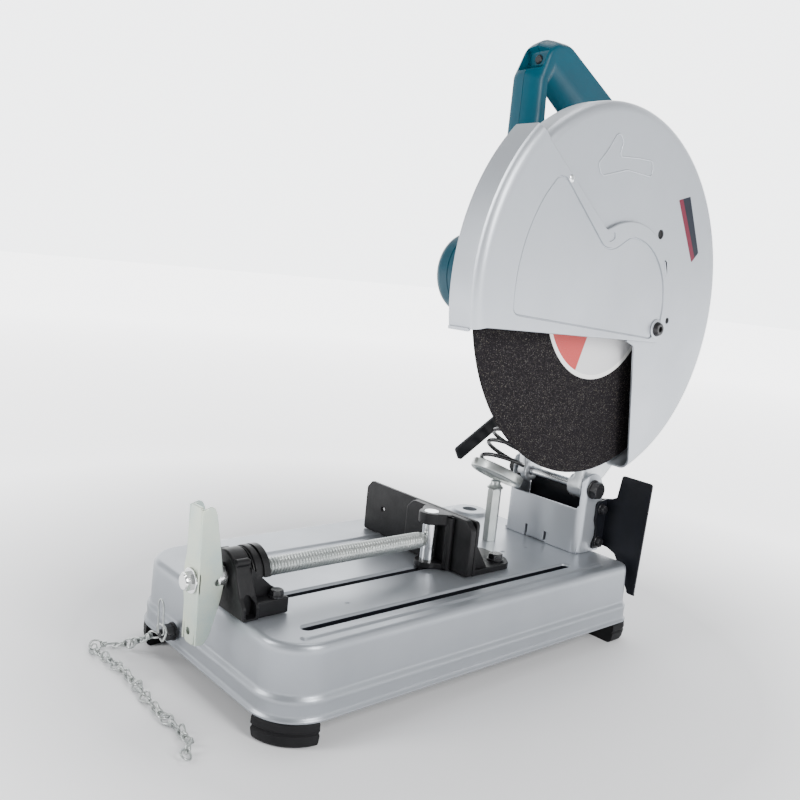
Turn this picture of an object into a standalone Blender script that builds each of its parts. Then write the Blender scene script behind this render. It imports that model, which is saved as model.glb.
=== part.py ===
"""A 355 mm abrasive chop saw, built as separate parts in Blender.

The base rests on z = 0 with the operator in front of it (-Y) and the cutting wheel on
the +X side. Lengths are in millimetres; MM turns them into Blender's metres.
"""

import math

import bmesh
import bpy
from mathutils import Matrix, Vector

MM = 0.001

# Base pan: half width and half length of the top, with the steps of its side wall
BASE_HALF_X, BASE_HALF_Y, BASE_TOP = 125.2, 218.3, 82.2
BASE_CORNER, REAR_CORNER, BASE_SHEET = 38.0, 12.0, 2.4
RIM_OUT, RIM_Z, BEAD_Z = 5.2, 21.0, 38.5
REST = 0.3                          # clearance between pieces that touch

# Cutting wheel and its guard
WHEEL_X, WHEEL_Y, WHEEL_Z = 93.5, 144.5, 360.0
WHEEL_R, WHEEL_T, WHEEL_BORE = 177.5, 3.0, 12.9
GUARD_Z, GUARD_R, GUARD_SHEET = 358.0, 185.5, 2.0
GUARD_X0, GUARD_X1 = 83.3, 112.0
SHIELD_R, SHIELD_SHEET = 198.5, 1.8
SHIELD_X0, SHIELD_X1 = 85.0, 116.0

# Motor, parallel to the wheel's spindle and one gear mesh behind it
GEAR_TEETH, PINION_TEETH, GEAR_DISTANCE = 34, 10, 35.0
MESH_ANGLE = math.radians(16.6)
MOTOR_Y = WHEEL_Y + GEAR_DISTANCE * math.cos(MESH_ANGLE)
MOTOR_Z = WHEEL_Z + GEAR_DISTANCE * math.sin(MESH_ANGLE)
MOTOR_R, MOTOR_END_X, MOTOR_FACE_X = 48.5, -138.0, 13.7

# Hinge of the cutting head, and the return spring in front of it
HINGE_Y, HINGE_Z, HINGE_R = 200.0, 154.0, 5.0
BRACKET_X0, BRACKET_X1, BRACKET_Y0, BRACKET_Y1 = -29.0, 77.0, 184.0, 223.6
BRACKET_SHEET, BRACKET_FRONT_Z, EYE_R = 3.5, 131.5, 17.0
POST_X, POST_Y = -2.0, 131.0
SEAT_Y, SEAT_Z, SEAT_R, SEAT_T = 131.0, 159.0, 29.5, 10.0
SPRING_LEAN = math.radians(27.0)
SPRING_R, SPRING_WIRE, SPRING_TURNS, SPRING_LENGTH = 23.0, 1.75, 6.0, 86.0

# Vise: screw, jaw and the slot that guides the jaw
SCREW_X, SCREW_Z, SCREW_R = 29.0, 110.5, 8.0
PIN_Y, PIN_R = 8.0, 7.5
JAW_FACE_Y, JAW_X0, JAW_X1, JAW_TOP = 24.5, -18.0, 76.0, 138.0
LEVER_Y, LEVER_LOW, LEVER_HIGH, LEVER_BOLT_Y = -247.2, -52.0, 61.5, -256.0
BLOCK_BOLT_Y = -186.0               # the nut block's two screws
SLOT_W = 9.0
KERF_X, KERF_Y0, KERF_Y1 = 93.5, -183.0, 150.0
GUIDE_X, GUIDE_Y0, GUIDE_Y1 = 30.0, -160.0, 22.0

# Fence and the two bolts it swings and clamps on
FENCE_Y, FENCE_T, FENCE_X0, FENCE_X1, FENCE_TOP = 27.0, 4.0, -95.0, 74.0, 137.0
FENCE_PIVOT = (60.0, 74.0)
CLAMP_REACH = 36.0

# Handle: a D in the plane x = HANDLE_X
HANDLE_X, HANDLE_HALF = -22.0, 17.0
GRIP_ANGLE = math.radians(-26.8)
TRIGGER_Y, TRIGGER_Z = 205.0, 541.0

# Spark plate behind the right corner, and the chain's bolt on the front wall
PLATE_Y, PLATE_T, PLATE_X1 = 225.0, 2.5, 133.0
CHAIN_BOLT = (-40.0, 36.0)

# The model's origin: under the middle of its box
CENTRE_X = (MOTOR_END_X + PLATE_X1) / 2
CENTRE_Y = (LEVER_BOLT_Y + WHEEL_Y + GUARD_R) / 2

FINISHES = {                        # base colour, metallic, roughness
    "pan_silver": ((0.60, 0.63, 0.67), 0.85, 0.38),
    "guard_silver": ((0.66, 0.70, 0.75), 0.75, 0.40),
    "zinc": ((0.70, 0.72, 0.66), 1.0, 0.30),
    "bright_steel": ((0.75, 0.76, 0.78), 1.0, 0.18),
    "black_steel": ((0.02, 0.02, 0.025), 0.3, 0.45),
    "black_cast": ((0.015, 0.015, 0.018), 0.4, 0.55),
    "cast_aluminium": ((0.50, 0.52, 0.54), 0.9, 0.45),
    "teal_plastic": ((0.0, 0.15, 0.22), 0.0, 0.40),
    "black_plastic": ((0.02, 0.02, 0.02), 0.0, 0.50),
    "rubber": ((0.012, 0.012, 0.013), 0.0, 0.75),
    "abrasive": ((0.035, 0.032, 0.036), 0.0, 0.90),
    "copper": ((0.60, 0.28, 0.15), 1.0, 0.35),
    "lamination": ((0.30, 0.31, 0.33), 0.9, 0.45),
    "carbon": ((0.03, 0.03, 0.03), 0.2, 0.70),
    "spring_steel": ((0.03, 0.03, 0.035), 0.8, 0.35),
}


# ---------------------------------------------------------------- helpers

for stale in list(bpy.data.objects):
    bpy.data.objects.remove(stale, do_unlink=True)

BODIES = {}
MATERIALS = {}


def body(name, at, parent=None):
    """An empty on a body's joint axis; the body's pieces hang from it."""
    empty = bpy.data.objects.new(name + "_axis", None)
    empty.location = Vector(at) * MM
    bpy.context.collection.objects.link(empty)
    if parent:
        empty.parent = BODIES[parent][0]
        empty.matrix_parent_inverse = BODIES[parent][1].inverted()
    BODIES[name] = (empty, Matrix.Translation(Vector(at) * MM))


def attach(obj, owner):
    bpy.context.collection.objects.link(obj)
    empty, matrix = BODIES[owner]
    obj.parent = empty
    obj.matrix_parent_inverse = matrix.inverted()


def finish(obj, kind):
    """Give an object its own Principled material of one of the finishes."""
    colour, metallic, roughness = FINISHES[kind]
    material = bpy.data.materials.new(obj.name)
    material.use_nodes = True
    shader = material.node_tree.nodes["Principled BSDF"]
    shader.inputs["Base Color"].default_value = (*colour, 1.0)
    shader.inputs["Metallic"].default_value = metallic
    shader.inputs["Roughness"].default_value = roughness
    obj.data.materials.append(material)


def solid(name, points, faces, kind, owner):
    mesh = bpy.data.meshes.new(name)
    mesh.from_pydata([Vector(p) * MM for p in points], [], faces)
    work = bmesh.new()
    work.from_mesh(mesh)
    bmesh.ops.recalc_face_normals(work, faces=work.faces)
    work.to_mesh(mesh)
    work.free()
    mesh.shade_smooth()
    mesh.set_sharp_from_angle(angle=math.radians(35))
    obj = bpy.data.objects.new(name, mesh)
    finish(obj, kind)
    attach(obj, owner)
    return obj


def loft(name, rings, kind, owner, closed=False):
    """Skin rings of equally many points; the ends are capped unless the rings close up."""
    count = len(rings[0])
    points = [p for ring in rings for p in ring]
    faces = []
    for k in range(len(rings) if closed else len(rings) - 1):
        low, high = k * count, (k + 1) % len(rings) * count
        for i in range(count):
            j = (i + 1) % count
            faces.append((low + i, low + j, high + j, high + i))
    if not closed:
        faces.append(tuple(range(count)))
        faces.append(tuple(range(len(points) - count, len(points))))
    return solid(name, points, faces, kind, owner)


def place(axis, along, u, v):
    return {"X": (along, u, v), "Y": (u, along, v), "Z": (u, v, along)}[axis]


def ring(axis, along, centre, radius, count=24, sides=0):
    """A circle across an axis, or a polygon of that many sides and that half width."""
    points = []
    for i in range(count):
        turn = 2 * math.pi * i / count
        reach = radius
        if sides:
            step = 2 * math.pi / sides
            reach = radius / math.cos(turn % step - step / 2)
        points.append(place(axis, along, centre[0] + reach * math.cos(turn),
                            centre[1] + reach * math.sin(turn)))
    return points


def turned(name, axis, centre, sections, kind, owner, count=24, bored=False):
    """A body of circular or polygonal sections (along, radius[, sides])."""
    rings = [ring(axis, s[0], centre, s[1], count, s[2] if len(s) > 2 else 0) for s in sections]
    return loft(name, rings, kind, owner, closed=bored)


def prism(name, axis, outline, low, high, kind, owner):
    rings = [[place(axis, along, u, v) for u, v in outline] for along in (low, high)]
    return loft(name, rings, kind, owner)


def box(name, low, high, kind, owner):
    outline = [(low[0], low[1]), (high[0], low[1]), (high[0], high[1]), (low[0], high[1])]
    return prism(name, "Z", outline, low[2], high[2], kind, owner)


def arc(centre, radius, start, stop, steps):
    """Points along an arc, angles in degrees."""
    turns = [math.radians(start + (stop - start) * i / steps) for i in range(steps + 1)]
    return [(centre[0] + radius * math.cos(t), centre[1] + radius * math.sin(t)) for t in turns]


def hull(points):
    """The convex outline around points, anticlockwise."""
    def half(ordered):
        chain = []
        for p in ordered:
            while len(chain) > 1:
                (ax, ay), (bx, by) = chain[-2], chain[-1]
                if (bx - ax) * (p[1] - ay) - (by - ay) * (p[0] - ax) > 1e-6:
                    break
                chain.pop()
            chain.append(p)
        return chain[:-1]
    ordered = sorted(set(points))
    return half(ordered) + half(ordered[::-1])


def around(circles, steps=24):
    """The outline of a belt round circles (u, v, radius)."""
    return hull([p for u, v, r in circles for p in arc((u, v), r, 0, 360, steps)[:-1]])


def modify(target, tool, operation):
    tool.hide_render = True
    tool.display_type = "WIRE"
    boolean = target.modifiers.new(tool.name, "BOOLEAN")
    boolean.operation = operation
    boolean.solver = "EXACT"
    boolean.object = tool


def cut(target, *tools):
    for tool in tools:
        modify(target, tool, "DIFFERENCE")


def join(target, *tools):
    for tool in tools:
        modify(target, tool, "UNION")


def drill(target, name, axis, centre, low, high, radius, owner, count=16):
    """Cut a round hole; the drill's name is its target's with the hole's."""
    cut(target, turned(target.name + "_" + name, axis, centre, [(low, radius), (high, radius)],
                       "zinc", owner, count))


def slot_outline(x, y0, y1, width):
    half = width / 2
    return (arc((x, y1 - half), half, 0, 180, 6) + arc((x, y0 + half), half, 180, 360, 6))


def tube(name, route, radius, kind, owner, resolution=2, cyclic=False):
    """A round bar along a route."""
    curve = bpy.data.curves.new(name, "CURVE")
    curve.dimensions = "3D"
    curve.bevel_depth = radius * MM
    curve.bevel_resolution = resolution
    curve.render_resolution_u = 0
    curve.use_fill_caps = True
    spline = curve.splines.new("POLY")
    spline.points.add(len(route) - 1)
    for knot, at in zip(spline.points, route):
        knot.co = (*(Vector(at) * MM), 1.0)
    spline.use_cyclic_u = cyclic
    obj = bpy.data.objects.new(name, curve)
    finish(obj, kind)
    attach(obj, owner)
    return obj


def smooth_route(knots, steps):
    """Points along a Catmull-Rom curve through the knots."""
    ends = [knots[0]] + knots + [knots[-1]]
    route = []
    for a, b, c, d in zip(ends, ends[1:], ends[2:], ends[3:]):
        a, b, c, d = Vector(a), Vector(b), Vector(c), Vector(d)
        for i in range(steps):
            t = i / steps
            route.append(0.5 * (2 * b + (c - a) * t + (2 * a - 5 * b + 4 * c - d) * t ** 2
                                + (3 * b - a - 3 * c + d) * t ** 3))
    return route + [Vector(knots[-1])]


def hex_bolt(name, axis, centre, face, head, flats, shank, tip, kind, owner):
    """A hex head that stands on a face, with a shank on the other side of it."""
    half = flats / 2
    chamfer = 0.12 * (head - face)
    sections = [(head, half * 0.9), (head - chamfer, half, 6), (face, half, 6),
                (face, shank), (tip, shank)]
    return turned(name, axis, centre, sections, kind, owner, count=12)


WHEEL_AXIS, MOTOR_AXIS, HINGE_AXIS = (WHEEL_Y, WHEEL_Z), (MOTOR_Y, MOTOR_Z), (HINGE_Y, HINGE_Z)
SCREW_AXIS = (SCREW_X, SCREW_Z)
CLAMP_AT = (FENCE_PIVOT[0] - CLAMP_REACH, FENCE_PIVOT[1])

body("base", (0, 0, 0))
body("fence", (*FENCE_PIVOT, BASE_TOP), "base")
body("vise_nut", (SCREW_X - 20, -194, SCREW_Z), "base")
body("jaw", (SCREW_X, PIN_Y, SCREW_Z), "base")
body("vise_screw", (SCREW_X, LEVER_Y, SCREW_Z), "jaw")
body("head", (0, *HINGE_AXIS), "base")
body("wheel", (WHEEL_X, *WHEEL_AXIS), "head")
body("armature", (0, *MOTOR_AXIS), "head")
body("safety_guard", (SHIELD_X1, *WHEEL_AXIS), "head")
body("trigger", (HANDLE_X, TRIGGER_Y, TRIGGER_Z), "head")
body("lock_off", (HANDLE_X - HANDLE_HALF, 178, 582), "head")
body("shaft_lock", (52, 100, 372), "head")


# ---------------------------------------------------------------- base

def pan_ring(outward, z, steps=5):
    """The base's rounded rectangle, grown outward from the top's edge."""
    half_x, half_y = BASE_HALF_X + outward, BASE_HALF_Y + outward
    points = []
    for sx, sy, start in ((1, 1, 0), (-1, 1, 90), (-1, -1, 180), (1, -1, 270)):
        radius = (REAR_CORNER if sy > 0 else BASE_CORNER) + outward
        centre = (sx * (half_x - radius), sy * (half_y - radius))
        points += arc(centre, radius, start, start + 90, steps)
    return [(x, y, z) for x, y in points]


def base_pan():
    """The pressed pan: rim, lower wall, bead, upper wall and rounded top edge."""
    outside = [(RIM_OUT, RIM_Z), (RIM_OUT, RIM_Z + 3.0), (4.0, RIM_Z + 5.0), (4.1, BEAD_Z - 1.5),
               (3.4, BEAD_Z + 1.0), (1.2, BEAD_Z + 3.5), (0.6, BASE_TOP - 7.0),
               (-0.8, BASE_TOP - 2.2), (-5.0, BASE_TOP)]
    inside = [(1.6, RIM_Z), (1.6, BEAD_Z - 2.0), (-1.4, BEAD_Z + 2.0), (-2.2, BASE_TOP - 8.0),
              (-7.0, BASE_TOP - BASE_SHEET)]
    rings = [pan_ring(*step) for step in inside[::-1] + outside]
    pan = loft("base_pan", rings, "pan_silver", "base")
    for name, x, y0, y1 in (("kerf", KERF_X, KERF_Y0, KERF_Y1),
                            ("guide", GUIDE_X, GUIDE_Y0, GUIDE_Y1)):
        cut(pan, prism("base_pan_" + name, "Z", slot_outline(x, y0, y1, SLOT_W),
                       BASE_TOP - 15, BASE_TOP + 10, "zinc", "base"))
    holes = {"pivot": (*FENCE_PIVOT, 5.3), "clamp": (*CLAMP_AT, 5.3), "boss": (-92, 191, 9.0),
             "block_left": (-1, BLOCK_BOLT_Y, 4.3), "block_right": (59, BLOCK_BOLT_Y, 4.3)}
    for name, (x, y, radius) in holes.items():
        drill(pan, name, "Z", (x, y), BASE_TOP - 15, BASE_TOP + 10, radius, "base", 12)
    drill(pan, "chain", "Y", CHAIN_BOLT, -240, -200, 4.3, "base", 12)


def foot(name, sx, sy):
    """A rubber foot that follows the pan's corner."""
    rings = []
    for z, grow in ((0, -2.5), (3, 0), (RIM_Z - REST, 1.5)):
        corner = REAR_CORNER if sy > 0 else BASE_CORNER
        radius = corner + RIM_OUT + grow
        cx, cy = BASE_HALF_X - corner, BASE_HALF_Y - corner
        outline = arc((cx, cy), radius, 0, 90, 8)
        if sy > 0:
            outline = ([(cx + radius, cy - 14)] + outline
                       + [(cx - 14, cy + radius), (cx - 14, cy - 14)])
        else:
            outline = ([(cx + radius, cy - 10)] + outline + [(cx - 10, cy + radius)]
                       + [(cx - 10, cy + radius - 31), (cx + radius - 31, cy - 10)])
        rings.append([(sx * x, sy * y, z) for x, y in outline])
    loft(name, rings, "rubber", "base")


def hinge_bracket():
    """Folded bracket: a front wall, a floor and two cheeks that rise to the hinge eyes."""
    cheek = ([(BRACKET_Y1, BASE_TOP + REST), (BRACKET_Y1, 118)]
             + arc(HINGE_AXIS, EYE_R, -10, 190, 12) + [(BRACKET_Y0, BASE_TOP + REST)])
    left = prism("hinge_bracket", "X", cheek, BRACKET_X0, BRACKET_X0 + BRACKET_SHEET,
                 "guard_silver", "base")
    right = prism("hinge_bracket_right", "X", cheek, BRACKET_X1 - BRACKET_SHEET, BRACKET_X1,
                  "guard_silver", "base")
    wall = box("hinge_bracket_wall", (BRACKET_X0 + 1, BRACKET_Y0 + 0.2, BASE_TOP + REST + 0.2),
               (BRACKET_X1 - 1, BRACKET_Y0 + BRACKET_SHEET, BRACKET_FRONT_Z), "zinc", "base")
    floor = box("hinge_bracket_floor", (BRACKET_X0 + 1, BRACKET_Y0 + 1, BASE_TOP + REST + 0.1),
                (BRACKET_X1 - 1, BRACKET_Y1 - 1, BASE_TOP + 4), "zinc", "base")
    join(left, right, wall, floor)
    drill(left, "eyes", "X", HINGE_AXIS, BRACKET_X0 - 10, BRACKET_X1 + 10, HINGE_R + REST, "base")


def hinge_pin():
    hex_bolt("hinge_shaft", "X", HINGE_AXIS, BRACKET_X1 + REST, BRACKET_X1 + 10, 19, HINGE_R,
             BRACKET_X0 - 13, "bright_steel", "base")
    turned("hinge_nut", "X", HINGE_AXIS,
           [(BRACKET_X0 - REST, 9, 6), (BRACKET_X0 - 9, 9, 6), (BRACKET_X0 - 9, HINGE_R + REST),
            (BRACKET_X0 - REST, HINGE_R + REST)], "black_steel", "base", 12, bored=True)


def return_spring():
    """Hex post, tilted seat and the compression spring that pushes the head up."""
    turned("stop_post", "Z", (POST_X, POST_Y),
           [(BASE_TOP + REST, 6.5, 6), (141, 6.5, 6), (141, 9), (144, 9), (144, 5),
            (149.8, 5)], "zinc", "base", 12)
    lean_y, lean_z = math.sin(SPRING_LEAN), math.cos(SPRING_LEAN)

    def leaned(along, radius, turn):
        """A point round the spring's tilted axis."""
        across = radius * math.sin(turn)
        return (POST_X + radius * math.cos(turn),
                SEAT_Y + along * lean_y + across * lean_z,
                SEAT_Z + along * lean_z - across * lean_y)

    half = SEAT_T / 2
    rings = [[leaned(along, radius, 2 * math.pi * i / 32) for i in range(32)]
             for along, radius in ((-half, SEAT_R - 1.5), (-half + 1.5, SEAT_R),
                                   (half - 1, SEAT_R), (half, SEAT_R - 1))]
    loft("spring_seat", rings, "zinc", "base")
    start = half + SPRING_WIRE + REST
    count = int(SPRING_TURNS * 12)
    coil = [leaned(start + (SPRING_LENGTH - 2 * SPRING_WIRE) * i / count, SPRING_R,
                   2 * math.pi * i / 12) for i in range(count + 1)]
    tube("return_spring", coil, SPRING_WIRE, "spring_steel", "base", resolution=1)


def spark_plate():
    outline = [(45, 90), (106, 84), (119, 48), (129, 48), (PLATE_X1, 172), (94, 172), (91, 143),
               (45, 134)]
    plate = prism("spark_plate", "Y", outline, PLATE_Y, PLATE_Y + PLATE_T, "black_steel", "base")
    join(plate, box("spark_plate_tab", (BRACKET_X1 + REST, 208.5, 86), (BRACKET_X1 + 2.8, PLATE_Y + 1, 141),
                    "black_steel", "base"))


def nut_block():
    """Cast block that carries the vise screw, with a low foot behind it."""
    arch = [(SCREW_X - 34, 82.5), (SCREW_X + 34, 82.5), (SCREW_X + 34, 97), (SCREW_X + 25, 97)]
    arch += arc(SCREW_AXIS, 24, 0, 180, 12) + [(SCREW_X - 25, 97), (SCREW_X - 34, 97)]
    block = prism("nut_block", "Y", arch, -219, -202, "black_cast", "base")
    join(block, box("nut_block_foot", (SCREW_X - 33.5, -205, 82.7), (SCREW_X + 33.5, -176, 96),
                    "black_cast", "base"))
    drill(block, "bore", "Y", SCREW_AXIS, -230, -160, SCREW_R + 0.6, "base")
    for side, x in (("left", SCREW_X - 30), ("right", SCREW_X + 30)):
        drill(block, side, "Z", (x, BLOCK_BOLT_Y), 70, 100, 4.3, "base", 12)
        hex_bolt("nut_block_bolt_" + side, "Z", (x, BLOCK_BOLT_Y), 96 + REST, 102.5, 12, 4, 74,
                 "black_steel", "base")


def chain_parts():
    """The bolt on the front wall, the spring clip on it and the hold-down chain."""
    hex_bolt("chain_bolt", "Y", CHAIN_BOLT, -BASE_HALF_Y - RIM_OUT - REST, -236, 13, 4, -212,
             "black_steel", "base")
    x, z = CHAIN_BOLT
    loop = ([(x + 6 + u, -240, z + 34 + v) for u, v in arc((0, 0), 7, 0, 180, 8)]
            + [(x + 6 + u, -240, z + 13 + v) for u, v in arc((0, 0), 7, 180, 360, 8)])
    tube("chain_clip", loop, 1.0, "zinc", "base", resolution=1, cyclic=True)
    knots = [(x - 8, -236, 33), (-62, -239, 24), (-84, -243, 11), (-100, -250, 4.5),
             (-108, -262, 4.2), (-100, -269, 4.2), (-80, -266, 4.2), (-52, -264, 4.2),
             (-22, -264, 4.2), (8, -267, 4.2), (38, -267, 4.2), (66, -266, 4.2), (82, -270, 4.2),
             (95, -280, 4.2)]
    tube("chain", smooth_route(knots, 3), 3.5, "zinc", "base")


# ---------------------------------------------------------------- vise and fence

def vise():
    outline = ([(JAW_X1, JAW_FACE_Y - 7), (JAW_X1, JAW_FACE_Y), (JAW_X0, JAW_FACE_Y),
                (JAW_X0, JAW_FACE_Y - 7)]
               + arc((SCREW_X, PIN_Y), 12.5, 200, 340, 8))
    jaw = prism("vise_jaw", "Z", outline, BASE_TOP + 1, JAW_TOP, "black_cast", "jaw")
    join(jaw, box("vise_jaw_tongue", (GUIDE_X - 3.6, -2, BASE_TOP - 6),
                  (GUIDE_X + 3.6, 16, BASE_TOP + 3), "black_cast", "jaw"))
    cut(jaw, box("vise_jaw_mouth", (SCREW_X - 14, -12, 89), (SCREW_X + 14, 17, 127),
                 "black_cast", "jaw"))
    drill(jaw, "pin_hole", "Z", (SCREW_X, PIN_Y), 84.8, JAW_TOP + 5, PIN_R + REST, "jaw")
    turned("jaw_pin", "Z", (SCREW_X, PIN_Y),
           [(85.2, PIN_R), (JAW_TOP - 0.5, PIN_R), (JAW_TOP, PIN_R - 1)], "bright_steel", "jaw")
    turned("vise_screw", "Y", SCREW_AXIS,
           [(-243, 5.5), (-241, SCREW_R), (-6, SCREW_R), (-5, SCREW_R + 1.5), (-2, SCREW_R + 1.5),
            (-2, 6), (PIN_Y - PIN_R - REST, 6)], "zinc", "vise_screw")
    lever = prism("vise_lever", "Y",
                  [(SCREW_X + u, SCREW_Z + v) for u, v in
                   ((-11, LEVER_LOW), (11, LEVER_LOW), (13, -12), (13, 12), (11, LEVER_HIGH),
                    (-11, LEVER_HIGH), (-13, 12), (-13, -12))],
                  LEVER_Y, LEVER_Y + 2.4, "zinc", "vise_screw")
    cheek = [(LEVER_Y + 0.1, LEVER_LOW + 1), (LEVER_Y + 11, LEVER_LOW + 1),
             (LEVER_Y + 23, -8), (LEVER_Y + 23, 8), (LEVER_Y + 11, LEVER_HIGH - 1),
             (LEVER_Y + 0.1, LEVER_HIGH - 1)]
    for name, x in (("left", -11.2), ("right", 8.8)):
        join(lever, prism("vise_lever_" + name, "X", [(y, SCREW_Z + z) for y, z in cheek],
                          SCREW_X + x, SCREW_X + x + 2.4, "zinc", "vise_screw"))
    drill(lever, "bore", "Y", SCREW_AXIS, LEVER_Y - 5, LEVER_Y + 5, 4.3, "vise_screw", 12)
    hex_bolt("lever_bolt", "Y", SCREW_AXIS, LEVER_Y - REST, LEVER_BOLT_Y, 13, 4, -243 - REST,
             "zinc", "vise_screw")


def vise_nut():
    """Half nut that flips off the screw for a quick slide."""
    outline = (arc(SCREW_AXIS, 22, 1, 179, 12) + arc(SCREW_AXIS, SCREW_R + 0.6, 178, 2, 10))
    prism("vise_nut", "Y", outline, -201.4, -187, "black_cast", "vise_nut")


def fence():
    low = BASE_TOP + REST
    plate = box("fence", (FENCE_X0, FENCE_Y, low), (FENCE_X1, FENCE_Y + FENCE_T, FENCE_TOP),
                "black_steel", "fence")
    join(plate,
         box("fence_foot", (15, FENCE_Y + 1, low + 0.1), (FENCE_X1 - 0.5, 88, low + 5.5),
             "black_steel", "fence"),
         box("fence_toe", (-90, FENCE_Y + 1, low + 0.1), (-42, 46, low + 5.5),
             "black_steel", "fence"))
    drill(plate, "pivot", "Z", FENCE_PIVOT, 75, 95, 5.3, "fence", 12)
    drill(plate, "sight", "Y", (-66, 111), 20, 40, 3.0, "fence", 12)
    swing = (arc(FENCE_PIVOT, CLAMP_REACH + 5.5, 171, 234, 8)
             + arc(FENCE_PIVOT, CLAMP_REACH - 5.5, 234, 171, 8))
    cut(plate, prism("fence_swing", "Z", swing, 75, 95, "zinc", "fence"))
    for name, at in (("fence_pivot_bolt", FENCE_PIVOT), ("fence_clamp_bolt", CLAMP_AT)):
        hex_bolt(name, "Z", at, low + 5.5 + REST, low + 12.5, 16, 5, 74, "black_steel", "base")


# ---------------------------------------------------------------- cutting head

def arm_casting():
    """Gear housing on a two-legged arm with a boss on each side of the hinge."""
    arm = prism("arm_casting", "X", around([(*WHEEL_AXIS, 44), (*MOTOR_AXIS, 50)]), 14, 74,
                "cast_aluminium", "head")
    neck = [(150, 345), (162, 300), (168, 262), (262, 263), (251, 300), (226, 352)]
    bridge = [(147, 259), (203, 231), (240, 240), (263, 261), (246, 302), (170, 303)]
    leg = [(188, 151), (189, 182), (200, 215), (203, 236), (178, 270), (250, 273), (264, 260),
           (264, 215), (250, 180), (213, 148)]
    pieces = [("neck", neck, 16, 68), ("bridge", bridge, -23, 69), ("leg_left", leg, -24, -12),
              ("leg_right", leg, 57, 70)]
    for name, outline, low, high in pieces:
        join(arm, prism("arm_casting_" + name, "X", outline, low, high, "zinc", "head"))
    for name, low, high in (("boss_left", -25, -9), ("boss_right", 50, 72.5)):
        join(arm, turned("arm_casting_" + name, "X", HINGE_AXIS, [(low, 13), (high, 13)], "zinc",
                         "head"))
    drill(arm, "hinge", "X", HINGE_AXIS, -60, 110, HINGE_R + REST, "head")
    cut(arm, prism("arm_casting_cavity", "X", around([(*WHEEL_AXIS, 38), (*MOTOR_AXIS, 28)]), 22.5,
                   80, "zinc", "head"))
    drill(arm, "bearing", "X", MOTOR_AXIS, 5, 30, 16.3, "head")
    drill(arm, "spindle_end", "X", WHEEL_AXIS, 17, 25, 10.4, "head")
    drill(arm, "lock", "Y", (52, 372), 90, 120, 4.3, "head", 12)
    turned("bearing_box", "X", WHEEL_AXIS, [(74.3, 21), (74.3, 46), (79, 46), (82.8, 40), (82.8, 21)],
           "cast_aluminium", "head", 32, bored=True)
    turned("spindle_bearing", "X", WHEEL_AXIS, [(71, 10.3), (71, 20.7), (82.5, 20.7), (82.5, 10.3)],
           "bright_steel", "head", bored=True)
    bar = math.radians(31)
    along, across = (math.cos(bar), math.sin(bar)), (-math.sin(bar), math.cos(bar))
    outline = [(102 + u * along[0] + v * across[0], 176 + u * along[1] + v * across[1])
               for u, v in ((-3.5, -7.5), (123, -7.5), (123, 7.5), (-3.5, 7.5))]
    stop = prism("stop_plate", "X", outline, -36, -32, "black_steel", "head")
    tip = (102 + 116 * along[0], 176 + 116 * along[1])
    join(stop, turned("stop_plate_stud", "X", tip, [(-40, 5, 6), (-34, 5, 6), (-34, 4.5),
                                                    (-24 - REST, 4.5)], "zinc", "head", 12))


def guard():
    """The fixed guard: a channel round the wheel, open below and in front."""
    outer, inner = GUARD_R, GUARD_R - GUARD_SHEET
    centre = (WHEEL_Y, GUARD_Z)
    sections = [(GUARD_X0, 48), (GUARD_X0, outer), (GUARD_X1 - 9, outer), (GUARD_X1 - 2.6, outer - 3),
                (GUARD_X1, outer - 10), (GUARD_X1, 48), (GUARD_X1 - GUARD_SHEET, 48),
                (GUARD_X1 - GUARD_SHEET, inner - 9), (GUARD_X1 - 9, inner),
                (GUARD_X0 + GUARD_SHEET, inner), (GUARD_X0 + GUARD_SHEET, 48)]
    shell = turned("main_guard", "X", centre, sections, "guard_silver", "head", 48, bored=True)
    opening = [(186, 306), (212, 150), (-90, 150), (-90, 415), (60, 400), (150, 330)]
    cut(shell, prism("main_guard_opening", "X", opening, 60, 130, "zinc", "head"))


def motor():
    housing = turned("motor_housing", "X", MOTOR_AXIS,
                     [(MOTOR_FACE_X, MOTOR_R - 3), (MOTOR_FACE_X, MOTOR_R), (-112, MOTOR_R),
                      (-112, MOTOR_R - 3)], "teal_plastic", "head", 40, bored=True)
    cap = [(-126, 0.5), (-126, 13.3), (-113.5, 13.3), (-113.5, 18), (-130, 18), (-130, 39),
           (-112.3, MOTOR_R - 3), (-112.3, MOTOR_R), (-128, MOTOR_R - 1), (-135.5, MOTOR_R - 6),
           (MOTOR_END_X, MOTOR_R - 16), (MOTOR_END_X, 0.5)]
    turned("motor_end_cap", "X", MOTOR_AXIS, cap, "teal_plastic", "head", 40)
    turned("stator", "X", MOTOR_AXIS, [(-76, 28), (-76, 45), (-24, 45), (-24, 28)], "lamination",
           "head", 32, bored=True)
    turned("front_bearing", "X", MOTOR_AXIS, [(14.5, 6.3), (14.5, 16), (22, 16), (22, 6.3)],
           "bright_steel", "head", bored=True)
    turned("rear_bearing", "X", MOTOR_AXIS, [(-124, 4.3), (-124, 13), (-115, 13), (-115, 4.3)],
           "bright_steel", "head", bored=True)
    for side, sign in (("upper", 1), ("lower", -1)):
        at = (-98, MOTOR_Y)
        drill(housing, side, "Z", at, MOTOR_Z + sign * 35, MOTOR_Z + sign * 60, 7.6, "head")
        turned("brush_cap_" + side, "Z", at,
               [(MOTOR_Z + sign * (MOTOR_R + 1.5), 6.5), (MOTOR_Z + sign * MOTOR_R, 7.3),
                (MOTOR_Z + sign * 41, 7.3)], "black_plastic", "head", 16)
        box("carbon_brush_" + side, (-102, MOTOR_Y - 4, MOTOR_Z + sign * 29 - 11.5),
            (-94, MOTOR_Y + 4, MOTOR_Z + sign * 29 + 11.5), "carbon", "head")


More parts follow.
